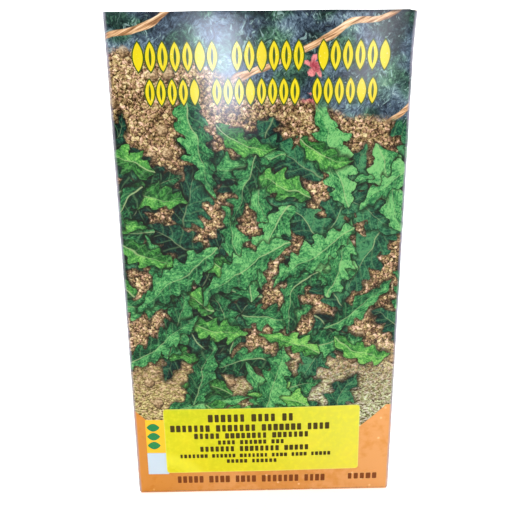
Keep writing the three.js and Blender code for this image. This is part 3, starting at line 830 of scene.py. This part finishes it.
def grain_field(count, rng):
    """Points and faces of many seeds, each turned by chance and sunk to its middle in the top of the
    mass."""
    one, quads, head, foot = one_seed()
    angle, share = rng.uniform(0, 2 * np.pi, count), rng.uniform(0.93, 1.0, count)
    inward = np.where(rng.uniform(0, 1, count) < 0.55, np.sqrt(rng.uniform(0, 1, count)), 1.0)
    share = np.where(inward < 1, 1.0, share)
    seats = pillow(seed_low, mass_high - [0, 0, SEAT_DEPTH], angle, share, SEAT_DEPTH)
    middle = (seed_low + seed_high) / 2
    seats[:, :2] = middle[:2] + (seats[:, :2] - middle[:2]) * inward[:, None]
    heading, pitch = rng.uniform(0, 2 * np.pi, count), rng.normal(0, 0.12, count)
    size = rng.uniform(0.8, 1.15, count)
    forward = placed(np.cos(heading) * np.cos(pitch), np.sin(heading) * np.cos(pitch), np.sin(pitch))
    sideways = placed(-np.sin(heading), np.cos(heading), 0.0)
    basis = np.stack([forward, sideways, np.cross(forward, sideways)], 1) * size[:, None, None]
    points = (np.einsum("vk,nkc->nvc", one, basis) + seats[:, None, :]).reshape(-1, 3)
    offset = (np.arange(count) * len(one))[:, None, None]
    faces = [(part[None] + offset).reshape(-1, part.shape[1]).tolist() for part in (quads, head, foot)]
    return points, sum(faces, [])


seed_coat = seed_finish()
seed_angle, seed_share = bag_grid(120, 70)
seed_bumps = 0.2 + 0.2 * np.sin(9 * seed_angle) * np.sin(26 * seed_share)
seed_points, seed_faces = closed_bag(
    pillow(seed_low, mass_high, seed_angle, seed_share, seed_bumps),
    lambda x, y: 0.15 * np.sin(x / 3.1) * np.sin(y / 2.7),
)
seed_mass = make_piece("seed_mass", seed_points, seed_faces, [seed_coat])
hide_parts("seeds")
loose_points, loose_faces = grain_field(SEED_COUNT, np.random.default_rng(500))
loose_seeds = make_piece("loose_seeds", loose_points, loose_faces, [seed_coat])
for piece in (seed_mass, loose_seeds):
    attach(piece, "root")


# The bag is thin clear film, tight round the seeds and crinkled by them. Its top is closed by a ribbed heat
# seal, which is folded over and lies on the dome.
FILM_LIFT = 0.42  # from the seeds to the film's outer face
CREASE_WAVES = 7
FIN_WIDTH = 94.0
FIN_BACK_Y = -3.6
FIN_FRONT_Y = -15.6
FIN_LIFT = 0.5  # from the film to the folded seal's outer face
FIN_THICKNESS = 0.22
RIB_PITCH = 1.5
RIB_HEIGHT = 0.09
TOP_ROOM = 1.4  # the most that the seal rises over the seeds' box
bag_rng = np.random.default_rng(83)
crease_chances = bag_rng.uniform(0, 1, (3, CREASE_WAVES))
crease_angle, crease_pitch, crease_phase = crease_chances * [[6.28], [0.6], [6.28]]


def film_crinkle(angle, share):
    """Small creases: the crests of seven crossing waves, strongest near the dome."""
    waves = sum(
        np.exp(-12 * (0.5 + 0.5 * np.sin((5 + k) * angle + (30 + 90 * pitch) * share + phase)))
        for k, (pitch, phase) in enumerate(zip(crease_pitch, crease_phase))
    )
    return 0.16 * np.clip(waves, 0, 1) * (0.35 + 0.65 * share**6)


def top_crinkle(x, y):
    """The same kind of creases across the flat top."""
    waves = sum(
        np.exp(-10 * (0.5 + 0.5 * np.sin((x * np.cos(a) + y * np.sin(a)) * (0.35 + pitch) + phase)))
        for a, pitch, phase in zip(crease_angle, crease_pitch, crease_phase)
    )
    return 0.2 * np.clip(waves, 0, 1)


def film_finish(name, haze):
    """Glossy film that shows what is under it. Fine crinkles bump it, and a painted highlight makes their
    ridges paler and more opaque; soft patches cloud it.
    """
    f = Finish(name)
    at = f.object_place()
    ridge = abs(f.noise(at * (1.0, 1.0, 0.6), 5.0, 4.0, 0.62) - 0.5).step(0.0, 0.05, 1.0, 0.0)
    cloud = f.noise(at, 16.0)
    f.relief(ridge, 0.35)
    return f.finished({
        "Base Color": f.mix(cloud, (236, 240, 242), (214, 220, 224)),
        "Roughness": 0.12,
        # Painted highlight: the crinkle ridges are paler and more opaque than the rest of the film.
        "Alpha": ridge * 0.22 + cloud.step(0.4, 0.7, haze, haze + 0.1),
        "Specular IOR Level": 0.8,
    })


def dome_height(x, y):
    """Height of the film over a place on the dome: the section that passes through the place is found by
    halving, and the share of height at which the bag is drawn in by that much gives the height."""
    middle, half = (seed_low + seed_high) / 2, (seed_high - seed_low) / 2
    least, most = np.zeros_like(x), np.full_like(x, half[1] - 1)
    for _ in range(30):
        inset = (least + most) / 2
        power = (np.abs(x - middle[0]) / (half[0] - inset)) ** SQUARENESS
        power = power + (np.abs(y - middle[1]) / (half[1] - inset)) ** SQUARENESS
        most = np.where(power > 1, inset, most)
        least = np.where(power > 1, least, inset)
    share = DOME_START + (1 - DOME_START) * np.clip(least / DOME_INSET, 0, 1) ** (1 / DOME_POWER)
    return seed_low[2] + (seed_high[2] - seed_low[2]) * share + FILM_LIFT


clear_film = film_finish("clear_film", 0.06)
sealed_film = film_finish("sealed_film", 0.24)
film_angle, film_share = bag_grid(200, 110)
film_points, film_faces = closed_bag(
    pillow(seed_low - FILM_LIFT, seed_high + [FILM_LIFT, FILM_LIFT, 0.1], film_angle, film_share,
           film_crinkle(film_angle, film_share)),
    top_crinkle,
)
film_bag = make_piece("film_bag", film_points, film_faces, [clear_film])
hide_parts("seed_bag")

fin_width = np.linspace(-FIN_WIDTH / 2, FIN_WIDTH / 2, 90)
fin_x, fin_t = np.meshgrid(fin_width, np.linspace(0, 1, 44), indexing="ij")
fin_y = FIN_BACK_Y + (FIN_FRONT_Y - FIN_BACK_Y) * fin_t
ribs = RIB_HEIGHT * np.sin(2 * np.pi * fin_y / RIB_PITCH) * np.clip((fin_t - 0.2) * 8, 0, 1)
waver = 0.1 * np.sin(fin_x / 6.3 + 0.8) * fin_t**2
fin_top = dome_height(fin_x, fin_y) + FIN_LIFT + ribs + waver
fin_outer = placed(fin_x, fin_y, np.minimum(fin_top, seed_high[2] + TOP_ROOM))
fin_points, fin_faces, _ = shell(fin_outer, fin_outer - [0, 0, FIN_THICKNESS])
bag_fin = make_piece("bag_fin", fin_points, fin_faces, [sealed_film])
for piece in (film_bag, bag_fin):
    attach(piece, "root")


# The two upper dust flaps are creased to the side panels and fold in under the lid. Their back edge is cut
# at a slant so that they slip under it, and their corners are rounded. The print stops near the crease.
DUST_LENGTH = 33.0
DUST_BACK_END = DEPTH / 2 - 2.4
DUST_FRONT_END = -DEPTH / 2 + 5.0
DUST_BACK_TAPER = 0.47
DUST_FRONT_TAPER = 0.14
DUST_CORNER_R = 3.0
DUST_MIDDLE_U = (BACK_FOLD_U + FRONT_FOLD_U) / 2


def coated_board():
    """The unprinted outer face of a flap: smooth white coating with a faint sheen and grey scuffs."""
    f = Finish("board_coat")
    at = f.object_place()
    scuff = f.noise(at * (1.0, 0.25, 1.0), 1.6, 4.0, 0.7)
    colour = f.mix(f.noise(at, 12.0, 3.0), (220, 218, 211), (207, 204, 195))
    colour = f.mix(scuff.step(0.62, 0.72, 0.0, 0.4), colour, (186, 180, 170))
    f.relief(f.noise(at, 0.7), 0.02)
    return f.finished({"Base Color": colour, "Roughness": 0.42})


board_coat = coated_board()
dust_z = HEIGHT - BOARD - PLAY
dust_axis_x = WIDTH / 2 - BOARD / 2
dust_end_x = dust_axis_x - DUST_LENGTH
dust_line = np.concatenate([
    [[WIDTH / 2, dust_high, 1.0, 0.0]],
    bend((WIDTH / 2 - CREASE_R, dust_z - CREASE_R), CREASE_R, 0, 90),
    straight((WIDTH / 2 - CREASE_R, dust_z), (dust_end_x + DUST_CORNER_R, dust_z), (0.0, 1.0), 18),
    straight((dust_end_x + DUST_CORNER_R, dust_z), (dust_end_x - HAIR, dust_z), (0.0, 1.0), 8),
])
dust_out = np.clip(dust_axis_x - dust_line[:, 0], 0, None)
into_corner = np.clip(dust_out - DUST_LENGTH + DUST_CORNER_R, 0, DUST_CORNER_R)
rounding = DUST_CORNER_R - np.sqrt(DUST_CORNER_R**2 - into_corner**2)
dust_front = DUST_FRONT_END + DUST_FRONT_TAPER * dust_out + rounding
dust_back = DUST_BACK_END - DUST_BACK_TAPER * dust_out - rounding
for side_name, sign in (("left", -1), ("right", 1)):
    dust_board = board_strip(
        f"dust_board_{side_name}", dust_line, dust_front, dust_back,
        lambda along, x, z: placed(sign * x, along, z),
        lambda along, far: print_places(sign * DUST_MIDDLE_U + along, HEIGHT + far),
        40, [board_coat, board_back, board_core],
    )
    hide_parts(f"dust_flap_{side_name}")
    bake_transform(dust_board)


# The lid is creased to the back panel and carries a curled tuck flap, which slides down inside the front.
# Both are one piece with the walls' board and printed on the outside.
CHAMFER_Y = -30.4  # from here to the front the lid grows narrower
CHAMFER_SLOPE = 0.75
LID_DIP = 0.16
LID_BEND_STATIONS = 8
TUCK_START_Y = -32.0  # where the lid ends and the tuck flap's board begins
LID_CREASE_INSET = 0.1
TUCK_CURL = 0.0115
lid_line = np.concatenate([
    [[DEPTH / 2, HEIGHT - BOARD - PLAY, 1.0, 0.0]],
    bend((DEPTH / 2 - CREASE_R, HEIGHT - CREASE_R), CREASE_R, 0, 90, LID_BEND_STATIONS),
    straight((DEPTH / 2 - CREASE_R, HEIGHT), (CHAMFER_Y, HEIGHT), (0.0, 1.0), 42),
    straight((CHAMFER_Y, HEIGHT), (TUCK_START_Y - HAIR, HEIGHT), (0.0, 1.0), 4),
])
lid_dip = LID_DIP * np.cos(np.pi * lid_line[:, 0] / DEPTH) ** 2
lid_line[LID_BEND_STATIONS:, 1] -= lid_dip[LID_BEND_STATIONS:]
lid_chamfer = np.clip(CHAMFER_Y - lid_line[:, 0], 0, None) * CHAMFER_SLOPE
lid_at_crease = lid_line[:, 1] < HEIGHT - CREASE_R
lid_reach = np.where(lid_at_crease, FOLD_X - LID_CREASE_INSET, lid_half) - lid_chamfer
lid_board = board_strip(
    "lid_board", lid_line, -lid_reach, lid_reach, placed,
    lambda along, far: print_places(BACK_MIDDLE_U + along, HEIGHT + far),
    72, PRINTED_BOARD,
)
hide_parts("lid")
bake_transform(lid_board)

tuck_axis = (-DEPTH / 2 + 1.5 * BOARD + PLAY, HEIGHT - BOARD / 2)
tuck_outer_y = tuck_axis[0] - BOARD / 2
fallen = np.linspace(CREASE_R - BOARD / 2, TUCK_LENGTH, 26)
curl_slope = 2 * TUCK_CURL * fallen
curl_length = np.hypot(1, curl_slope)
curled = np.stack([
    tuck_outer_y + TUCK_CURL * fallen**2,
    tuck_axis[1] - fallen,
    -1 / curl_length,
    -curl_slope / curl_length,
], -1)
tuck_line = np.concatenate([
    straight((TUCK_START_Y, HEIGHT), (tuck_outer_y + CREASE_R, HEIGHT), (0.0, 1.0), 4),
    bend((tuck_outer_y + CREASE_R, HEIGHT - CREASE_R), CREASE_R, 90, 90, LID_BEND_STATIONS),
    curled,
])
travel = np.maximum(tuck_axis[1] - tuck_line[:, 1], 0)
corner_in = np.clip(travel - TUCK_LENGTH + TUCK_CORNER_R, 0, TUCK_CORNER_R - HAIR)
tuck_reach = tuck_half - TUCK_CORNER_R + np.sqrt(TUCK_CORNER_R**2 - corner_in**2)
lid_travel = travelled(lid_line)[-1]
tuck_board = board_strip(
    "tuck_board", tuck_line, -tuck_reach, tuck_reach, placed,
    lambda along, far: print_places(BACK_MIDDLE_U + along, HEIGHT + lid_travel + far),
    72, PRINTED_BOARD,
)
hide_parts("tuck_flap")
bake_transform(tuck_board)


# The inks that stand out from the picture: two rows of plain yellow almond shapes with a dark outline, rows
# of brown bars, and a small colour tag. Each shape is a thin slab of ink that follows the front panel.
INK = 0.03
FIRST_INK = 0.01  # how far the first inks lie off the board
SECOND_INK = 0.05  # and the inks that are printed over them
ALMOND_STATIONS = 12


def front_point(x, z, out):
    """A point out millimetres in front of the board's outer face."""
    bulge = face_bulge(x, z)
    waves = unevenness(x, z) * np.sqrt(np.clip(bulge / FRONT_BULGE, 0, 1))
    return placed(x, -DEPTH / 2 - bulge - waves - out, z)


def almond(middle, width, height, lying=False):
    """The outline of an almond: two mirrored half sine waves."""
    t = np.linspace(0, 1, ALMOND_STATIONS, endpoint=False)
    one_side = np.stack([width / 2 * np.sin(np.pi * t) ** 0.8, height * (t - 0.5)], -1)
    outline = np.concatenate([one_side, -one_side])
    return np.array(middle) + (outline[:, ::-1] * [-1, 1] if lying else outline)


def bar(middle, width, height, corner=0.14):
    """The outline of an upright bar whose corners are cut by a share of its width."""
    cut = min(width, height) * corner
    w, h = width / 2, height / 2
    half_round = np.array([(-w + cut, -h), (w - cut, -h), (w, -h + cut), (w, h - cut)])
    return np.array(middle) + np.concatenate([half_round, -half_round])


def ink_slabs(name, filled, rings, out, ink, surface_point=front_point):
    """One mesh of thin closed slabs: filled outlines, and rings given as pairs of like outlines."""
    points, faces = [], []
    start = 0
    for outline in filled:
        count = len(outline)
        for lift in (out + INK, out):
            points.append(surface_point(outline[:, 0], outline[:, 1], lift))
        top = np.arange(count) + start
        low = top + count
        faces.append(top.tolist())
        faces.append(low[::-1].tolist())
        faces += np.stack([top, low, np.roll(low, -1), np.roll(top, -1)], -1).tolist()
        start += 2 * count
    for wide, narrow in rings:
        count = len(wide)
        for outline, lift in ((wide, out + INK), (narrow, out + INK), (narrow, out), (wide, out)):
            points.append(surface_point(outline[:, 0], outline[:, 1], lift))
        loops = np.arange(4 * count).reshape(4, count) + start
        for a, b in zip(loops, np.roll(loops, -1, axis=0)):
            faces += np.stack([a, b, np.roll(b, -1), np.roll(a, -1)], -1).tolist()
        start += 4 * count
    piece = make_piece(name, np.concatenate(points), faces, [ink], sharp_deg=30)
    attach(piece, "root")


def ink_finish(name, colour, second, gloss=0.13, pinholes=0.08):
    """Printing ink under varnish: one colour that drifts slightly, with tiny pinholes."""
    f = Finish(name)
    at = f.object_place()
    shade = f.mix(f.noise(at, 9.0, 3.0), colour, second)
    shade = f.mix(f.noise(at, 0.5).step(0.66, 0.74, 0.0, pinholes), shade, (250, 244, 214))
    f.relief(f.noise(at, 1.2), 0.02)
    return f.finished({"Base Color": shade, "Roughness": gloss, "Specular IOR Level": VARNISH_LEVEL})


HEADLINE_ROWS = [
    # middle height, shape height, shape width, first and last place, shapes in each group
    (175.4, 9.6, 3.4, -42.0, 42.9, (7, 6, 6)),
    (163.6, 8.6, 3.1, -38.5, 39.1, (5, 8, 6)),
]
FILLED_EVERY = 5  # of so many places one has a shape without a hole
HOLE_WIDTH = 0.28
HOLE_HEIGHT = 0.64
halo, solid, hollow = [], [], []
for row, (row_z, tall, wide, first_x, last_x, groups) in enumerate(HEADLINE_ROWS):
    pitch = (last_x - first_x) / (sum(groups) + len(groups) - 2)
    place = 0
    for group in groups:
        for _ in range(group):
            middle = (first_x + pitch * place, row_z)
            halo.append(almond(middle, wide + 0.9, tall + 1.4))
            shape = almond(middle, wide, tall)
            if (place + row) % FILLED_EVERY == 0:
                solid.append(shape)
            else:
                hollow.append((shape, almond(middle, wide * HOLE_WIDTH, tall * HOLE_HEIGHT)))
            place += 1
        place += 1
headline_outline_ink = ink_finish("headline_outline_ink", (52, 74, 22), (66, 90, 26))
headline_ink = ink_finish("headline_ink", (216, 201, 20), (211, 190, 26), pinholes=0.35)
ink_slabs("headline_outline", halo, [], FIRST_INK, headline_outline_ink)
ink_slabs("headline", solid, hollow, SECOND_INK, headline_ink)


def worded_bars(rng, left, right, height_middle, height, pitch):
    """A row of short bars in groups of three to eight, as text is stood in for on a blank form."""
    bars = []
    x = left
    while x + pitch < right:
        for _ in range(int(rng.integers(3, 9))):
            if x + pitch > right:
                break
            width = pitch * rng.uniform(0.56, 0.8)
            bars.append(bar((x + pitch / 2, height_middle), width, height))
            x += pitch
        x += pitch * 0.8
    return bars


bar_rng = np.random.default_rng(24)
name_bars = worded_bars(bar_rng, -36.6, 26.0, 6.5, 3.3, 2.3)
name_bars += worded_bars(bar_rng, 35.0, 49.0, 6.8, 2.8, 2.6)
brown_ink = ink_finish("brown_ink", (112, 54, 18), (128, 68, 28))
ink_slabs("name_bars", name_bars, [], FIRST_INK, brown_ink)

TAG_X = -44.0
TAG_WIDTH = 8.6
TAG_CORNER = 0.02
TAG_GOLD_Z = 27.4
TAG_WHITE_Z = 14.5
TAG_DOT_PITCH = 4.2
tag_gold_ink = ink_finish("tag_gold_ink", (246, 184, 32), (250, 196, 52))
tag_white_ink = ink_finish("tag_white_ink", (184, 202, 220), (200, 214, 226))
tag_green_ink = ink_finish("tag_green_ink", (26, 118, 70), (50, 140, 76))
gold_field = bar((TAG_X, TAG_GOLD_Z), TAG_WIDTH, 15.4, TAG_CORNER)
white_field = bar((TAG_X, TAG_WHITE_Z), TAG_WIDTH, 10.2, TAG_CORNER)
dot_heights = TAG_GOLD_Z + TAG_DOT_PITCH * np.array([1, 0, -1])
tag_dots = [almond((TAG_X - 1.2, z), 3.6, 5.4, lying=True) for z in dot_heights]
ink_slabs("tag_gold", [gold_field], [], FIRST_INK, tag_gold_ink)
ink_slabs("tag_white", [white_field], [], FIRST_INK, tag_white_ink)
ink_slabs("tag_green", tag_dots, [], SECOND_INK, tag_green_ink)


# The label is a yellow paper sticker, put on by hand slightly askew, with rounded corners and one faint
# fold. Its print is stood in for by rows of plain dark bars.
label_low, label_high = (np.array(corner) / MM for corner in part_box("front_label"))
LABEL_TURN = math.radians(0.5)
LABEL_WIDTH = 80.0
LABEL_HEIGHT = 30.0
LABEL_CORNER_R = 1.3
LABEL_UNDER = 0.05
LABEL_OVER = 0.2
LABEL_SPAN = 100.0
LABEL_FOLD = 0.05  # height of the faint fold, which runs down to the right across the left end
LABEL_FOLD_SLOPE = 0.9
LABEL_FOLD_PLACE = 44.0
LABEL_FOLD_REACH = 1.2
label_middle = (label_low + label_high)[[0, 2]] / 2


def label_point(x, z, out):
    """A point of the label from its own middle, turned with it and laid on the front panel."""
    turned_x = label_middle[0] + x * math.cos(LABEL_TURN) - z * math.sin(LABEL_TURN)
    turned_z = label_middle[1] + x * math.sin(LABEL_TURN) + z * math.cos(LABEL_TURN)
    return front_point(turned_x, turned_z, out)


def label_finish():
    """Fluorescent yellow paper: greener at the top, warmer below, paler to the right, with soft deeper
    patches, a pale curved band that is slightly raised, and a semi-gloss face."""
    f = Finish("label_paper")
    at = f.map_place("label", LABEL_SPAN, (LABEL_SPAN / 2, LABEL_SPAN / 2, 0.0))
    x, z, _ = at.parts()
    fine = f.noise(at, 2.2, 3.0, 0.65)
    colour = f.ramp(f.noise(at, 13.0, 3.0) * 0.9 - z * 0.012, [
        (0.15, (180, 188, 15)),
        (0.45, (201, 197, 20)),
        (0.7, (216, 202, 24)),
        (0.95, (224, 190, 28)),
    ])
    colour = f.mix(x.step(-16.0, 42.0, 0.0, 0.5), colour, (223, 213, 92))
    band = (fine * 3.0 + (at + (42.0, 27.0, 0.0)).length()).within(17.0, 22.5, 1.6)
    colour = f.mix(band * 0.4, colour, (238, 232, 70))
    colour = f.mix(fine.step(0.4, 0.8, 0.1, 0.5), colour, (238, 228, 40))
    edge = (LABEL_WIDTH / 2 - abs(x)).at_most(LABEL_HEIGHT / 2 - abs(z))
    colour = f.mix(edge.step(0.5, 0.0, 0.0, 0.25), colour, (250, 246, 170))
    f.relief(fine * 0.5 + band * 0.3, 0.05)
    return f.finished({"Base Color": colour, "Roughness": 0.4, "Specular IOR Level": 0.12})


label_paper = label_finish()
label_corner = LABEL_CORNER_R * (1 - np.cos(np.linspace(0, np.pi / 2, 6)))
label_z = np.concatenate([
    label_corner - LABEL_HEIGHT / 2,
    np.linspace(-LABEL_HEIGHT / 2, LABEL_HEIGHT / 2, 24)[2:-2],
    LABEL_HEIGHT / 2 - label_corner[::-1],
])
past_corner = np.clip(np.abs(label_z) - LABEL_HEIGHT / 2 + LABEL_CORNER_R, 0, LABEL_CORNER_R)
label_half = LABEL_WIDTH / 2 - LABEL_CORNER_R + np.sqrt(np.clip(LABEL_CORNER_R**2 - past_corner**2, 0, None))
label_x_grid = label_half[:, None] * np.linspace(-1, 1, 60)
label_z_grid = label_z[:, None] + 0 * label_x_grid
off_fold = label_x_grid * LABEL_FOLD_SLOPE + label_z_grid + LABEL_FOLD_PLACE
fold_ridge = LABEL_FOLD * np.exp(-(off_fold / LABEL_FOLD_REACH) ** 2)
label_outer = label_point(label_x_grid, label_z_grid, LABEL_OVER + fold_ridge)
label_inner = label_point(label_x_grid, label_z_grid, LABEL_UNDER)
label_points, label_faces, _ = shell(label_outer, label_inner)
label_places = np.stack([label_x_grid, label_z_grid], -1).reshape(-1, 2) / LABEL_SPAN + 0.5
label_maps = {"label": np.tile(label_places, (2, 1))}
label = make_piece("label", label_points, label_faces, [label_paper], maps=label_maps)
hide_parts("front_label")
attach(label, "root")

LABEL_ROWS = [
    # left end, right end, middle height, bar height, pitch of the bars
    (-22.2, 13.8, 10.6, 3.5, 2.6),
    (-37.8, 30.3, 6.0, 3.1, 2.4),
    (-28.2, 23.0, 2.4, 2.6, 2.2),
    (-18.5, 11.8, -0.7, 2.0, 1.9),
    (-26.0, 19.7, -3.8, 2.5, 2.1),
    (-34.4, 29.0, -7.1, 1.8, 1.7),
    (-15.1, 7.2, -9.8, 1.8, 1.8),
]
label_bars = []
for label_row in LABEL_ROWS:
    label_bars += worded_bars(bar_rng, *label_row)
label_ink = ink_finish("label_ink", (54, 44, 4), (72, 58, 8), 0.45)
ink_slabs("label_bars", label_bars, [], LABEL_OVER, label_ink, label_point)


# The studio: a pale sweep that runs up behind the carton and glows far from it, in white air. The light is
# broad and soft, from above, both sides, behind and in front. Two small windows behind the camera are seen
# only as reflections, as a bluish haze on the varnish near the top.
SWEEP_HALF = 2200.0
SWEEP_BEND = 500.0
SWEEP_BEND_STATIONS = 16
SWEEP_TOP = 2400.0
SWEEP_THICKNESS = 4.0
GLOW_FROM = 600.0  # distance from the carton from which the floor's own light grows
GLOW_FULL = 1250.0


def sweep_finish():
    """Matt off-white paper with a faint even mottle. Far from the carton it shines by itself, where the
    lights no longer reach."""
    f = Finish("sweep_paper")
    at = f.object_place()
    return f.finished({
        "Base Color": f.mix(f.noise(at, 60.0, 3.0), (250, 250, 250), (246, 246, 247)),
        "Roughness": 0.9,
        "Emission Color": (1.0, 1.0, 1.0, 1.0),
        "Emission Strength": at.length().step(GLOW_FROM, GLOW_FULL, 0.39, 0.92),
    })


sweep_turn = np.linspace(0, np.pi / 2, SWEEP_BEND_STATIONS)
sweep_arc = np.stack([1 + np.sin(sweep_turn), 1 - np.cos(sweep_turn)], -1)
sweep_line = np.concatenate([
    straight((-SWEEP_HALF, 0.0), (SWEEP_BEND, 0.0), (0.0, 1.0), 12)[:, :2],
    SWEEP_BEND * sweep_arc,
    [[2 * SWEEP_BEND, SWEEP_TOP]],
])
sweep_grid = placed(np.linspace(-SWEEP_HALF, SWEEP_HALF, 9), sweep_line[:, :1], sweep_line[:, 1:])
sweep_points, sweep_faces, _ = shell(sweep_grid, sweep_grid - [0, 0, SWEEP_THICKNESS])
sweep = make_piece("sweep", sweep_points, sweep_faces, [sweep_finish()])


def turned_to(ahead, roll=0.0):
    """The turn that makes a camera or a light look along a direction, rolled about it."""
    forward = np.array(ahead) / np.linalg.norm(ahead)
    right = np.cross(forward, (0.0, 0.0, 1.0))
    right /= np.linalg.norm(right)
    above = np.cross(right, forward)
    rolled_right = right * math.cos(roll) + above * math.sin(roll)
    rolled_above = above * math.cos(roll) - right * math.sin(roll)
    turn = np.identity(4)
    turn[:3, :3] = np.stack([rolled_right, rolled_above, -forward], 1)
    return Matrix(turn.tolist())


def soft_light(name, place, aim, size, power, colour=(1.0, 1.0, 1.0), diffuse=True):
    """A rectangular area light at a place in metres, turned to face a point. Without diffuse it is only
    seen as a reflection."""
    data = bpy.data.lights.new(name, "AREA")
    data.shape = "RECTANGLE"
    data.size, data.size_y = size
    data.energy = power
    data.color = colour
    light = bpy.data.objects.new(name, data)
    light.matrix_world = Matrix.Translation(place) @ turned_to(np.array(aim) - np.array(place))
    light.visible_diffuse = diffuse
    bpy.context.scene.collection.objects.link(light)


CARTON_MIDDLE = (0.0, 0.0, 0.1)
WARM_WHITE = (1.0, 0.98, 0.94)
SKY_WHITE = (1.0, 0.985, 0.95)
soft_light("overhead", (0.0, -0.45, 1.5), CARTON_MIDDLE, (1.6, 1.4), 12.0, SKY_WHITE)
soft_light("left_side", (-1.3, -0.9, 0.7), CARTON_MIDDLE, (0.9, 1.1), 5.9, WARM_WHITE)
soft_light("right_side", (1.3, -0.9, 0.7), CARTON_MIDDLE, (0.9, 1.1), 5.3, WARM_WHITE)
soft_light("behind", (0.0, 0.5, 1.6), (0.0, 0.9, 0.2), (2.0, 0.6), 5.0)
soft_light("front_fill", (0.0, -1.6, 1.1), CARTON_MIDDLE, (1.2, 0.5), 7.2, SKY_WHITE)
soft_light("left_window", (-0.086, -1.53, 0.266), (-0.012, -0.035, 0.172), (0.12, 0.28), 9.2,
           (0.71, 0.79, 1.0), diffuse=False)
soft_light("right_window", (0.371, -1.53, 0.29), (0.033, -0.035, 0.176), (0.1, 0.22), 2.4,
           (0.85, 0.85, 1.0), diffuse=False)

AIR_LIGHT = 0.14  # how strong the air is as a light
AIR_SEEN = 1.0  # and when it is seen directly
world = bpy.data.worlds.new("studio_air")
world.use_nodes = True
seen_directly = Field(add_node(world.node_tree, "LightPath", {}).outputs["Is Camera Ray"])
air_inputs = {"Value": seen_directly, "To Min": AIR_LIGHT, "To Max": AIR_SEEN}
air_strength = Field(add_node(world.node_tree, "MapRange", air_inputs).outputs[0])
air = world.node_tree.nodes["Background"]
feed(air.inputs["Color"], (1.0, 1.0, 1.0, 1.0))
feed(air.inputs["Strength"], air_strength)
bpy.context.scene.world = world
bpy.context.scene.view_settings.view_transform = "Standard"

# The camera stands where a phone was held: a little left of the middle, at five sixths of the carton's
# height, looking down. Its place, turn and focal length were fitted to the front's four corners and to the
# label's edges in the photograph.
IMAGE_PIXELS = 510
FOCAL_PIXELS = 580.0
CAMERA_PLACE = (-0.00507, -0.24516, 0.16383)
CAMERA_YAW = math.radians(0.667)
CAMERA_PITCH = math.radians(-15.793)
CAMERA_ROLL = math.radians(-0.664)
camera_data = bpy.data.cameras.new("camera")
camera_data.sensor_width = 36.0
camera_data.lens = camera_data.sensor_width * FOCAL_PIXELS / IMAGE_PIXELS
camera_data.clip_start = 0.01
camera = bpy.data.objects.new("camera", camera_data)
camera_ahead = (
    math.sin(CAMERA_YAW) * math.cos(CAMERA_PITCH),
    math.cos(CAMERA_YAW) * math.cos(CAMERA_PITCH),
    math.sin(CAMERA_PITCH),
)
camera.matrix_world = Matrix.Translation(CAMERA_PLACE) @ turned_to(camera_ahead, CAMERA_ROLL)
bpy.context.scene.collection.objects.link(camera)
bpy.context.scene.camera = camera
